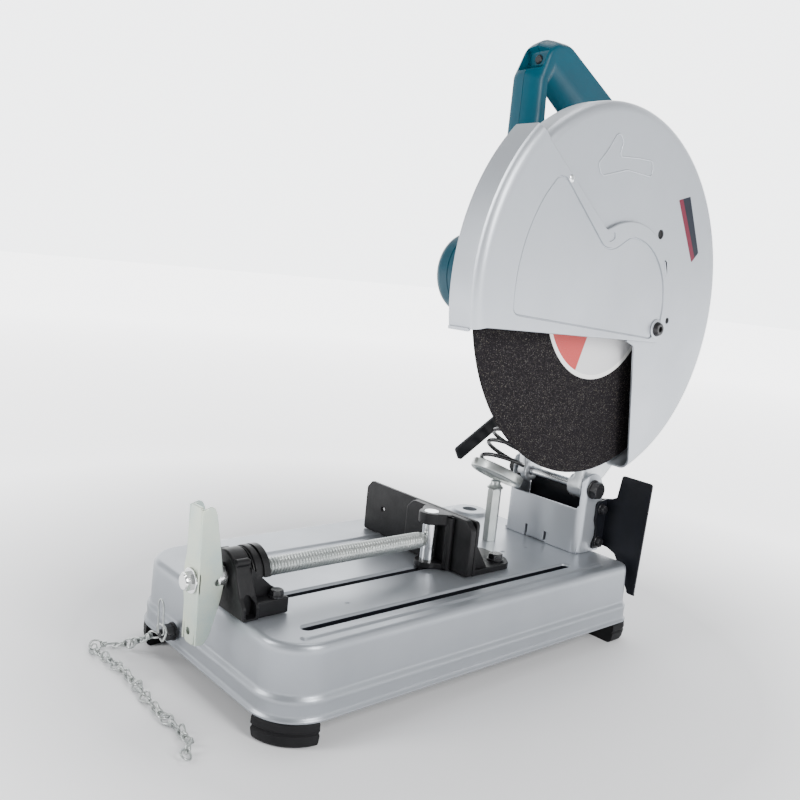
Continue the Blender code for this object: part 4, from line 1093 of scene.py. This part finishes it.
def fence():
    """The fence: an upright plate, a slotted sole, a toe and gussets, with its two bolts."""
    y, low, sole = 27.0, 82.6, 5.6
    pivot, clamp = (60, 74), (24, 74)
    plate = prism("fence_plate", "Y",
                  rounded([(-95, low, 3), (74, low, 3), (74, 137, 4), (-88, 137, 4), (-95, 129, 4)],
                          5), y, y + 4, 0.6, 0.6, 3)
    cut(plate, turned("sight", "Y", (-66, 111), [(20, 3.0), (40, 3.0)], 24))
    foot = prism("fence_sole", "Z",
                 rounded([(15, y + 1, 0), (73.5, y + 1, 0), (73.5, 80, 12), (60, 90, 12),
                          (26, 90, 10), (15, 76, 8)], 5), low, low + sole, 0.3, 0.8, 3)
    swing = arc(pivot, 41.8, 170, 235, 10) + arc(pivot, 30.2, 235, 170, 10)
    cut(foot, prism("swing_slot", "Z", swing, 78, 95))
    toe = prism("fence_toe", "Z", rounded([(-90, y + 1, 0), (-42, y + 1, 0), (-46, 46, 6),
                                           (-86, 46, 6)], 5), low, low + sole, 0.3, 0.8, 3)
    gussets = [prism("gusset", "X", [(y + 3, low + 5), (y + deep, low + 5), (y + 3, 118)],
                     x - 2, x + 2, 0.6, 0.6, 3) for x, deep in ((22, 15), (68, 24))]
    dress(merge("fence_casting", [plate, foot, toe] + gussets), BLACK_CAST, "fence", "fence")
    for name, at in (("fence_pivot_bolt", pivot), ("fence_clamp_bolt", clamp)):
        bolt = hex_head(name + "_head", "Z", at, low + sole + 0.2, 5.2, 13, washer=8.6)
        dress(bolt, BLACK_OXIDE, "base", name)


# ---------------------------------------------------------------- cutting head

def belt(circles, steps=30):
    """The outline of a belt round circles (u, v, radius)."""
    points = sorted({(round(p, 4), round(q, 4)) for u, v, r in circles
                     for p, q in arc((u, v), r, 0, 360, steps)[:-1]})

    def half(ordered):
        """One side of the outline, through the outermost of the ordered points."""
        chain_points = []
        for p in ordered:
            while len(chain_points) > 1:
                (ax, ay), (bx, by) = chain_points[-2], chain_points[-1]
                if (bx - ax) * (p[1] - ay) - (by - ay) * (p[0] - ax) > 1e-6:
                    break
                chain_points.pop()
            chain_points.append(p)
        return chain_points[:-1]
    return half(points) + half(points[::-1])


def gear_housing():
    """The cast gear housing: a body and a cover, with lugs round the joint."""
    outline = belt([(*WHEEL_AXIS, 44), (*MOTOR_AXIS, 50)])
    body = prism("housing_body", "X", outline, 14, 56, 3.0, 0.6, 4)
    cover = prism("housing_cover", "X", outline, 56.6, 74, 0.6, 4.0, 4)
    cut(body, turned("motor_mouth", "X", MOTOR_AXIS, [(5, 16.3), (24, 16.3)], 40))
    cut(cover, turned("spindle_mouth", "X", WHEEL_AXIS, [(66, 20), (90, 20)], 40))
    lug = [(42, 4.6), (43.5, 6.0), (71.5, 6.0), (73, 4.8)]
    places = [polar(WHEEL_AXIS if 100 < turn < 280 else MOTOR_AXIS,
                    44.5 if 100 < turn < 280 else 50.5, turn) for turn in (70, 128, 205, 262, 320)]
    lugs = [turned("lug", "X", at, lug, 24) for at in places]
    dress(merge("gear_case", [body, cover] + lugs), CAST, "head", "arm_casting", sharp=30)


def arm():
    """The arm from the hinge up to the gear housing, cast with soft corners."""
    neck = [(150, 345), (162, 300), (170, 266), (262, 263), (251, 300), (226, 352)]
    bridge = [(149, 259), (203, 232), (240, 240), (263, 261), (246, 302), (170, 303)]
    leg = [(188, 151), (189, 182), (200, 215), (203, 236), (180, 268), (250, 273), (264, 258),
           (264, 215), (250, 180), (213, 148)]
    shell = prism("arm_shell", "X", neck, 17, 67)
    fuse(shell, prism("arm_bridge", "X", bridge, -22, 68),
         prism("arm_leg_left", "X", leg, -22.2, -11),
         prism("arm_leg_right", "X", leg, 56.5, 69),
         turned("arm_boss_left", "X", HINGE_AXIS, [(-23.2, 13), (-9, 13)], 40),
         turned("arm_boss_right", "X", HINGE_AXIS, [(50, 13), (70.6, 13)], 40))
    remesh = shell.modifiers.new("remesh", "REMESH")
    remesh.mode = "VOXEL"
    remesh.voxel_size = 1.9 * MM
    smooth = shell.modifiers.new("smooth", "SMOOTH")
    smooth.factor = 0.6
    smooth.iterations = 7
    bake(shell)
    cut(shell, turned("arm_bore", "X", HINGE_AXIS, [(-60, 5.4), (110, 5.4)], 32))
    dress(shell, CAST, "head", "arm_casting", stands=False, sharp=50)


BAR_END = (102, 176)


def stop_bar():
    """A flat bar bolted to the arm's left leg, its free end low beside the spring."""
    slope = math.radians(31)
    along, across = (math.cos(slope), math.sin(slope)), (-math.sin(slope), math.cos(slope))

    def on_bar(far, side):
        """A point from the bar's free end, along it and across it."""
        return tuple(BAR_END[i] + far * along[i] + side * across[i] for i in (0, 1))

    corners = [(*on_bar(far, side), 2.5) for far, side in ((-3.5, -7.5), (123, -7.5), (123, 7.5),
                                                           (-3.5, 7.5))]
    plate = prism("bar_plate", "X", rounded(corners, 4), -36, -32, 0.4, 0.4, 3)
    bolt_at = on_bar(116, 0)
    stud = turned("bar_stud", "X", bolt_at, [(-24.3, 4.5), (-32.5, 4.5)], 24)
    head = hex_head("bar_bolt", "X", bolt_at, -36.0, 4.2, 10, out=-1)
    dress(merge("stop_bar", [plate, stud, head]), BLACK_PAINT, "head", "stop_plate")


def main_guard():
    """The fixed guard: two pressed discs and the rolled channel that joins them."""
    near, far, sheet, roll, hub = GUARD_X0, GUARD_X1, 1.9, 11, 48
    bend = (far - roll, GUARD_R - roll)
    profile = [(near, hub), (near, 181.5), (near + 0.8, 184.2), (near + 3.2, GUARD_R)]
    profile += arc(bend, roll, 90, 0, 9)
    profile += [(far, 165), (far, 120), (far, hub), (far - sheet, hub), (far - sheet, 120),
                (far - sheet, 165)]
    profile += arc(bend, roll - sheet, 0, 90, 7)
    profile += [(near + 4.6, GUARD_R - sheet), (near + 2.4, 181.0), (near + sheet, 178),
                (near + sheet, hub)]
    shell = turned("guard_shell", "X", GUARD_AXIS, profile, 144, bored=True)
    mouth = rounded([(186.5, 314, 4), (212.5, 150, 0), (-90, 150, 0), (-90, 415, 0), (60, 400, 0),
                     (150, 327, 0)], 6)
    cut(shell, prism("guard_mouth", "X", mouth, 60, 130),
        *[turned(name, "X", at, [(100, radius), (120, radius)], 32)
          for name, at, radius in GUARD_HOLES])
    # Dark discs just inside the two holes are painted shade for the shadowed inside of the guard.
    hole_shades = [turned("plug", "X", at, [(110.2, radius + 0.5), (111.0, radius + 0.5)], 32)
             for name, at, radius in GUARD_HOLES]
    dress(merge("guard_hole_shades", hole_shades), RUBBER, "head", "main_guard", stands=False)
    flutes = [sector("flute", GUARD_AXIS, [(near + 0.2, r - 2.6), (near - 0.9, r - 1.0),
                                           (near - 0.9, r + 1.0), (near + 0.2, r + 2.6)],
                     -70, 88, 40) for r in (150, 166)]
    dress(merge("guard_case", [shell] + flutes), GUARD_PAINT, "head", "main_guard", sharp=40)


def guard_marks():
    """The raised outline of an arrow, the plain badge and the bolts inside the guard."""
    arrow = rounded([(90, 480, 4), (97, 470, 6), (135, 481, 30), (176, 480, 4), (175, 495, 4),
                     (150, 494, 20), (120, 491, 3), (124, 505, 4), (115, 513, 5),
                     (103, 495, 12)], 6)
    mark = tube("arrow_mark", [(GUARD_X1 + 0.1, u, v) for u, v in arrow], 0.75, 8, closed=True)
    dress(mark, GUARD_PAINT, "head", "main_guard", stands=False, sharp=80)
    badge = prism("plain_badge", "X",
                  rounded([(*BADGE_CORNER, 1), (270, 405, 1), (281, 416, 1), (250, 471, 1)], 3),
                  GUARD_X1 - 0.1, GUARD_X1 + 0.16, 0, 0.1, 2)
    dress(badge, BADGE, "head", "main_guard", stands=False)
    bolts = [hex_head("case_bolt", "X", polar(GUARD_AXIS, 58, turn), GUARD_X0 + 1.9, 4.0, 8)
             for turn in (20, 80, -60)]
    dress(merge("case_bolts", bolts), ZINC, "head", "main_guard", stands=False)


def safety_guard():
    """The swinging guard: a pressed face with a sunk panel, and a band round the wheel."""
    face, edge, sheet = SHIELD_X1, SHIELD_R, 1.8
    inner = face - sheet
    start, stop = 134.9, 190.5
    notch = (156, 354)                               # centre of the notch beside the hub
    band = [(SHIELD_X0, edge - sheet), (SHIELD_X0, edge - 0.3), (SHIELD_X0 + 0.3, edge),
            (110.2, edge), (110.8, edge - 0.2), (111.2, edge - 1.0), (111.5, edge - 1.9),
            (112.4, edge - 2.8), (113.9, edge - 4.4), (115.1, edge - 6.6), (115.8, edge - 9.2),
            (face, edge - 12), (face, edge - 16), (inner, edge - 16), (inner, edge - 12),
            (inner - 0.8, edge - 8), (inner - 2.6, edge - 5), (109.4, edge - sheet - 0.4),
            (107, edge - sheet)]
    rim = sector("shield_band", WHEEL_AXIS, band, start, stop, 50)
    outline = rounded(fixed(arc(WHEEL_AXIS, edge - 13.5, stop, start, 40))
                      + [(112, 423.2, 5)] + fixed(arc(notch, 81, 116, 20, 24))
                      + fixed(arc((217, 333), 14.5, 8, -80, 12)), 4)
    plate = prism("shield_plate", "X", outline, inner, face - 0.02, 0.3, 1.2, 4)
    panel = rounded(fixed(arc(WHEEL_AXIS, 151, 146, 184.5, 16))
                    + [(-5.2, 339.0, 7), (206, 323.0, 7), (222, 336, 6)]
                    + fixed(arc(notch, 66, -10, 95, 18))
                    + [(124, 404.5, 30), (109, 408, 12), (44, 461, 9), (33, 461, 7)], 6)
    groove = ((face + 0.5, -1.1), (face - 0.02, -0.7), (face - 1.45, -0.2), (face - 1.5, 0.5),
              (face - 0.75, 1.1), (face - 0.7, 1.7))
    slot = rounded([(116, 411, 2.8), (126, 416, 2.8), (124, 423, 2.8), (114.5, 417.5, 2.8)], 5)
    cut(plate, loft("panel_recess", [[(along, u, v) for u, v in inset(panel, distance)]
                                     for along, distance in groove]),
        prism("shield_slot", "X", slot, face - 0.9, 118))
    lip = sector("shield_lip", WHEEL_AXIS,
                 [(SHIELD_X0 + 1, edge - 1.6), (SHIELD_X0 + 1, edge + 1.6), (109.5, edge + 1.6),
                  (109.5, edge - 1.6)], stop - 0.4, stop + 0.4, 1)
    tick = rounded([(211.5, 405, 1.6), (215, 402.4, 1.6), (222.5, 386, 1.2), (219, 386, 1.2)], 3)
    tick = prism("shield_tick", "X", tick, face - 0.6, face + 0.5, 0, 0.5, 3)
    dress(merge("swing_guard", [rim, plate, lip, tick]), GUARD_PAINT, "safety_guard", "safety_guard",
          sharp=40)
    rivet = turned("shield_rivet", "X", (50, 461), [(face - 0.4, 3.4), (face + 0.3, 3.4),
                                                    (face + 0.9, 2.7), (face + 1.2, 1.4)], 28)
    dress(rivet, STEEL, "safety_guard", "safety_guard", stands=False)


def guard_pivot():
    """The socket-head bolt that the safety guard swings on, in its raised ring."""
    face = SHIELD_X1
    ring = turned("bolt_ring", "X", GUARD_BOLT, [(face - 0.2, 10.2), (face + 0.4, 10.2),
                                                 (face + 0.9, 9.2), (face + 1.0, 7.2)], 44)
    dress(ring, GUARD_PAINT, "safety_guard", "safety_guard", stands=False)
    head = turned("pivot_cap", "X", GUARD_BOLT, [(face + 0.6, 7.4), (face + 1.4, 7.6),
                                                 (face + 4.4, 6.4), (face + 5.2, 5.4)], 44)
    cut(head, turned("socket", "X", GUARD_BOLT, [(face + 2.2, 2.9, 6), (face + 7, 2.9, 6)], 24))
    dress(head, BLACK_OXIDE, "safety_guard", "guard_bolt")


def wheel():
    """The abrasive disc and the paper labels on its two sides."""
    x, r, half, label_in, label_out = WHEEL_X, WHEEL_R, 1.5, 38.5, 82
    disc = turned("cutting_disc", "X", WHEEL_AXIS,
                  [(x - half, 12.9), (x - half, r - 0.5), (x - 1.1, r), (x + 1.1, r),
                   (x + half, r - 0.5), (x + half, 12.9)], 160, bored=True)
    dress(disc, GRIT, "wheel", "abrasive_wheel", sharp=50)
    for name, at in (("paper_outer", x + half), ("paper_inner", x - 1.72)):
        paper = turned(name, "X", WHEEL_AXIS,
                       [(at, label_in), (at, label_out), (at + 0.22, label_out),
                        (at + 0.22, label_in)], 96, bored=True)
        dress(paper, PAPER, "wheel", "abrasive_wheel", stands=False)


def about_motor(x, reach, side, turn):
    """A point at a reach from the motor's axis and a little to the side of that ray."""
    y, z = math.cos(turn), math.sin(turn)
    return (x, MOTOR_AXIS[0] + reach * y - side * z, MOTOR_AXIS[1] + reach * z + side * y)


def stadium(start, stop, half, radius):
    """A slot's outline with well rounded ends."""
    return rounded([(start, -half, radius), (stop, -half, radius), (stop, half, radius),
                    (start, half, radius)], 3)


def motor_housing():
    """Motor housing with two bands and a ring of cooling slots."""
    housing = turned("housing_shell", "X", MOTOR_AXIS,
                     [(13.7, MOTOR_R - 3), (13.7, MOTOR_R - 0.8), (12.8, MOTOR_R), (4, MOTOR_R),
                      (3.4, MOTOR_R - 0.7), (1.6, MOTOR_R - 0.7), (1.0, MOTOR_R),
                      (-111.4, MOTOR_R), (-112, MOTOR_R - 0.6), (-112, MOTOR_R - 3)], 96, bored=True)
    line = stadium(-7, 7, 1.7, 1.6)
    slots = [loft("vent", [[about_motor(u - 10, reach, v, 2 * math.pi * (k + 0.5) / 24)
                            for u, v in line] for reach in (MOTOR_R - 6, MOTOR_R + 4)])
             for k in range(24)]
    cut(housing, *slots)
    bands = [sector("band", MOTOR_AXIS, [(x, MOTOR_R - 0.5), (x, MOTOR_R + 0.2),
                                         (x + 2, MOTOR_R + 0.2), (x + 2, MOTOR_R - 0.5)],
                    0, 359.9, 64) for x in (-30, -38)]
    dress(merge("motor_shell", [housing] + bands), TEAL, "head", "motor_housing", sharp=40)


def motor_end_cap():
    """The domed end cap with radial vents and four sunk screws."""
    cap = turned("cap_shell", "X", MOTOR_AXIS,
                 [(-126, 0.4), (-126, 13.3), (-113.5, 13.3), (-113.5, 18), (-130, 18), (-130, 39),
                  (-112.4, MOTOR_R - 3), (-112.4, MOTOR_R - 0.7), (-113, MOTOR_R), (-124, MOTOR_R)]
                 + [(-124 - 14 * math.sin(t), MOTOR_R - 15 * (1 - math.cos(t)))
                    for t in [math.pi / 2 * k / 8 for k in range(1, 9)]]
                 + [(-138, 24), (-138, 22.5), (-137.2, 21.8), (-137.2, 0.4)], 96)
    line = stadium(26, 42, 1.6, 1.5)
    vents = [loft("cap_vent", [[about_motor(x, u, v, 2 * math.pi * k / 16) for u, v in line]
                               for x in (-142, -128.5)])
             for k in range(16) if k % 4 != 2]
    wells = [polar(MOTOR_AXIS, 36, 45 + 90 * k) for k in range(4)]
    vents += [turned("well", "X", at, [(-140, 4.6), (-131.5, 4.6)], 24) for at in wells]
    cut(cap, *vents)
    dress(cap, TEAL, "head", "motor_end_cap", sharp=40)
    screws = []
    for y, z in wells:
        head = turned("cap_screw", "X", (y, z), [(-131.4, 3.9), (-133.6, 3.7), (-134.4, 2.8)], 24)
        cut(head, *[box("drive", (-137, y - wide, z - tall), (-133.2, y + wide, z + tall))
                    for wide, tall in ((0.5, 2.2), (2.2, 0.5))])
        screws.append(head)
    dress(merge("cap_screws", screws), ZINC, "head", "motor_end_cap", stands=False)


def brush_caps():
    """Slotted plugs over the carbon brushes, above and below the motor."""
    x, (y, z) = -98, MOTOR_AXIS
    for side, sign in (("upper", 1), ("lower", -1)):
        brush = turned("brush_plug_" + side, "Z", (x, y),
                       [(z + sign * reach, radius) for reach, radius in (
                           (41, 7.3), (MOTOR_R - 0.6, 7.3), (MOTOR_R + 0.8, 7.0),
                           (MOTOR_R + 1.5, 6.2))], 36)
        slot_z = z + sign * (MOTOR_R + 0.8)
        cut(brush, box("plug_slot", (x - 6, y - 0.9, slot_z - 1.0), (x + 6, y + 0.9, slot_z + 1.6)))
        dress(brush, BLACK_PLASTIC, "head", "brush_cap_" + side)


GRIP_ANGLE, GRIP_MIDDLE = math.radians(-26.8), (205, 541)


def grip_point(u, v):
    """A point along and across the grip's slope, measured from the trigger's middle."""
    return (GRIP_MIDDLE[0] + u * math.cos(GRIP_ANGLE) - v * math.sin(GRIP_ANGLE),
            GRIP_MIDDLE[1] + u * math.sin(GRIP_ANGLE) + v * math.cos(GRIP_ANGLE))


def grown(middle, side, share):
    """An outline between a moulding's seam and its side face, rounding over towards it."""
    blend = 0.35 * share + 0.65 * (1 - math.sqrt(max(0.0, 1 - share * share)))
    return rounded([tuple(a + (b - a) * blend for a, b in zip(p, q))
                    for p, q in zip(middle, side)], 6)


def handle():
    """Two moulded halves of the D handle: nose-shaped post, rounded grip, screw recess."""
    outer = [(123, 424, 3), (123, 578, 14), (141, 619, 26), (176, 620, 20), (262, 579, 30),
             (296, 556, 28), (306, 520, 18), (306, 455, 22), (292, 437, 18), (215, 424, 6)]
    outer_right = [(141, 426, 3), (137, 574, 10), (148, 608, 20), (174, 612, 18), (258, 573, 28),
                   (290, 551, 26), (301, 518, 16), (301, 457, 20), (289, 441, 16), (215, 429, 6)]
    outer_left = [(126, 425, 3), (126, 577, 13), (144, 615, 24), (175, 616, 18), (260, 576, 28),
                  (293, 553, 26), (303, 519, 16), (303, 456, 20), (290, 440, 16), (215, 427, 6)]
    finger = [(156, 468, 10), (258, 468, 12), (271, 482, 10), (264, 503, 12), (151, 570, 3),
              (146, 562, 3), (145, 533, 2), (146, 482, 8)]
    finger_side = [(156, 466, 10), (262, 464, 12), (281, 482, 10), (286, 533, 12), (151, 597, 4),
                   (141, 578, 3), (143.5, 533, 2), (145, 482, 8)]
    shares = [0.0, 0.3, 0.5, 0.65, 0.78, 0.88, 0.95, 1.0]
    depth, clear = HANDLE_HALF - 0.2, 0.2
    pocket = [grip_point(u, v) for u, v in ((-22, -20), (22, -20), (22, 28), (-22, 28))]
    recess = rounded([(112, 583, 2), (126, 583, 3), (143, 590, 3), (143.5, 604, 4), (136, 611, 4),
                      (112, 611, 2)], 4)
    for side, sign, outer_side in (("left", -1, outer_left), ("right", 1, outer_right)):
        seam = HANDLE_X + sign * clear
        half = loft("grip_half_" + side, [[(seam + sign * depth * t, u, v)
                                           for u, v in grown(outer, outer_side, t)]
                                          for t in shares])
        levels = [(-0.1, 0.0)] + [(t, t) for t in shares] + [(1.1, 1.0)]
        hole = loft("finger_hole", [[(seam + sign * depth * at, u, v)
                                     for u, v in grown(finger, finger_side, t)]
                                    for at, t in levels])
        near, far = sorted((HANDLE_X + sign * 0.01, HANDLE_X + sign * 13.6))
        tools = [hole, prism("switch_pocket", "X", pocket, HANDLE_X - 8, HANDLE_X + 8),
                 prism("screw_recess", "X", recess, near, far)]
        if side == "left":
            tools.append(turned("button_hole", "X", LOCK_BUTTON_AT, [(-50, 6.6), (-30, 6.6)], 32))
        cut(half, *tools)
        dress(half, TEAL, "head", "handle_" + side, sharp=38)


def handle_screw():
    """The screw in the recess at the top of the handle's post."""
    head = turned("handle_screw", "Y", (HANDLE_X, 597), [(146, 4.6), (142.4, 4.6), (141.4, 3.6),
                                                         (141.4, 0.5)], 28)
    dress(head, BLACK_OXIDE, "head", "handle_right", stands=False)


def trigger():
    """The trigger under the grip."""
    outline = [(-20, 5, 2), (-20, -11, 6), (-4, -14, 22), (16, -16, 6), (16, 5, 2)]
    lever_body = prism("trigger_lever", "X",
                       rounded([(*grip_point(u, v), radius) for u, v, radius in outline], 6),
                       HANDLE_X - 6.5, HANDLE_X + 6.5, 2.0, 2.0, 4)
    dress(lever_body, BLACK_PLASTIC, "trigger", "trigger")


def lock_off_button():
    """The button in the grip's left side that frees the trigger."""
    button = turned("lock_button", "X", LOCK_BUTTON_AT,
                    [(-35, 6), (-42, 6), (-43.1, 5.2), (-43.5, 4.0)], 36)
    dress(button, BLACK_PLASTIC, "lock_off", "lock_off_button")


def cord_gland():
    """The ribbed sleeve where a mains cord would leave the handle."""
    gland = turned("gland_boot", "Y", (HANDLE_X, 485),
                   [(300, 4.5), (300, 11.6), (308.6, 12.0), (309.8, 11.4), (310.2, 9.6), (312, 9.2),
                    (313, 8.2), (315, 8.8), (316.4, 8.0), (318, 8.6), (319.6, 7.8), (321, 8.3),
                    (323, 7.6), (325.6, 7.2), (326, 6.6), (326, 4.5)], 40, bored=True)
    dress(gland, RUBBER, "head", "cord_gland")


def shaft_lock():
    """The push button that locks the spindle while the wheel is changed."""
    plug = turned("lock_plug", "Y", (52, 372), [(86, 5.6), (86.6, 7.0), (87.6, 7.5), (91, 7.5),
                                                (91.4, 4.4), (108, 4.0)], 36)
    dress(plug, BLACK_PLASTIC, "shaft_lock", "shaft_lock_pin")


camera()
studio()
CHAIN_LENGTH = chain()
chain_fittings()
base_pan()
feet()
hinge_bracket()
hinge_pin()
stop_post()
spring_seat()
return_spring()
spark_plate()
nut_block()
screw()
lever()
vise_nut()
jaw()
fence()
gear_housing()
arm()
stop_bar()
main_guard()
guard_marks()
safety_guard()
guard_pivot()
wheel()
motor_housing()
motor_end_cap()
brush_caps()
handle()
handle_screw()
trigger()
lock_off_button()
cord_gland()
shaft_lock()

print("chain length in millimetres:", round(CHAIN_LENGTH, 1))
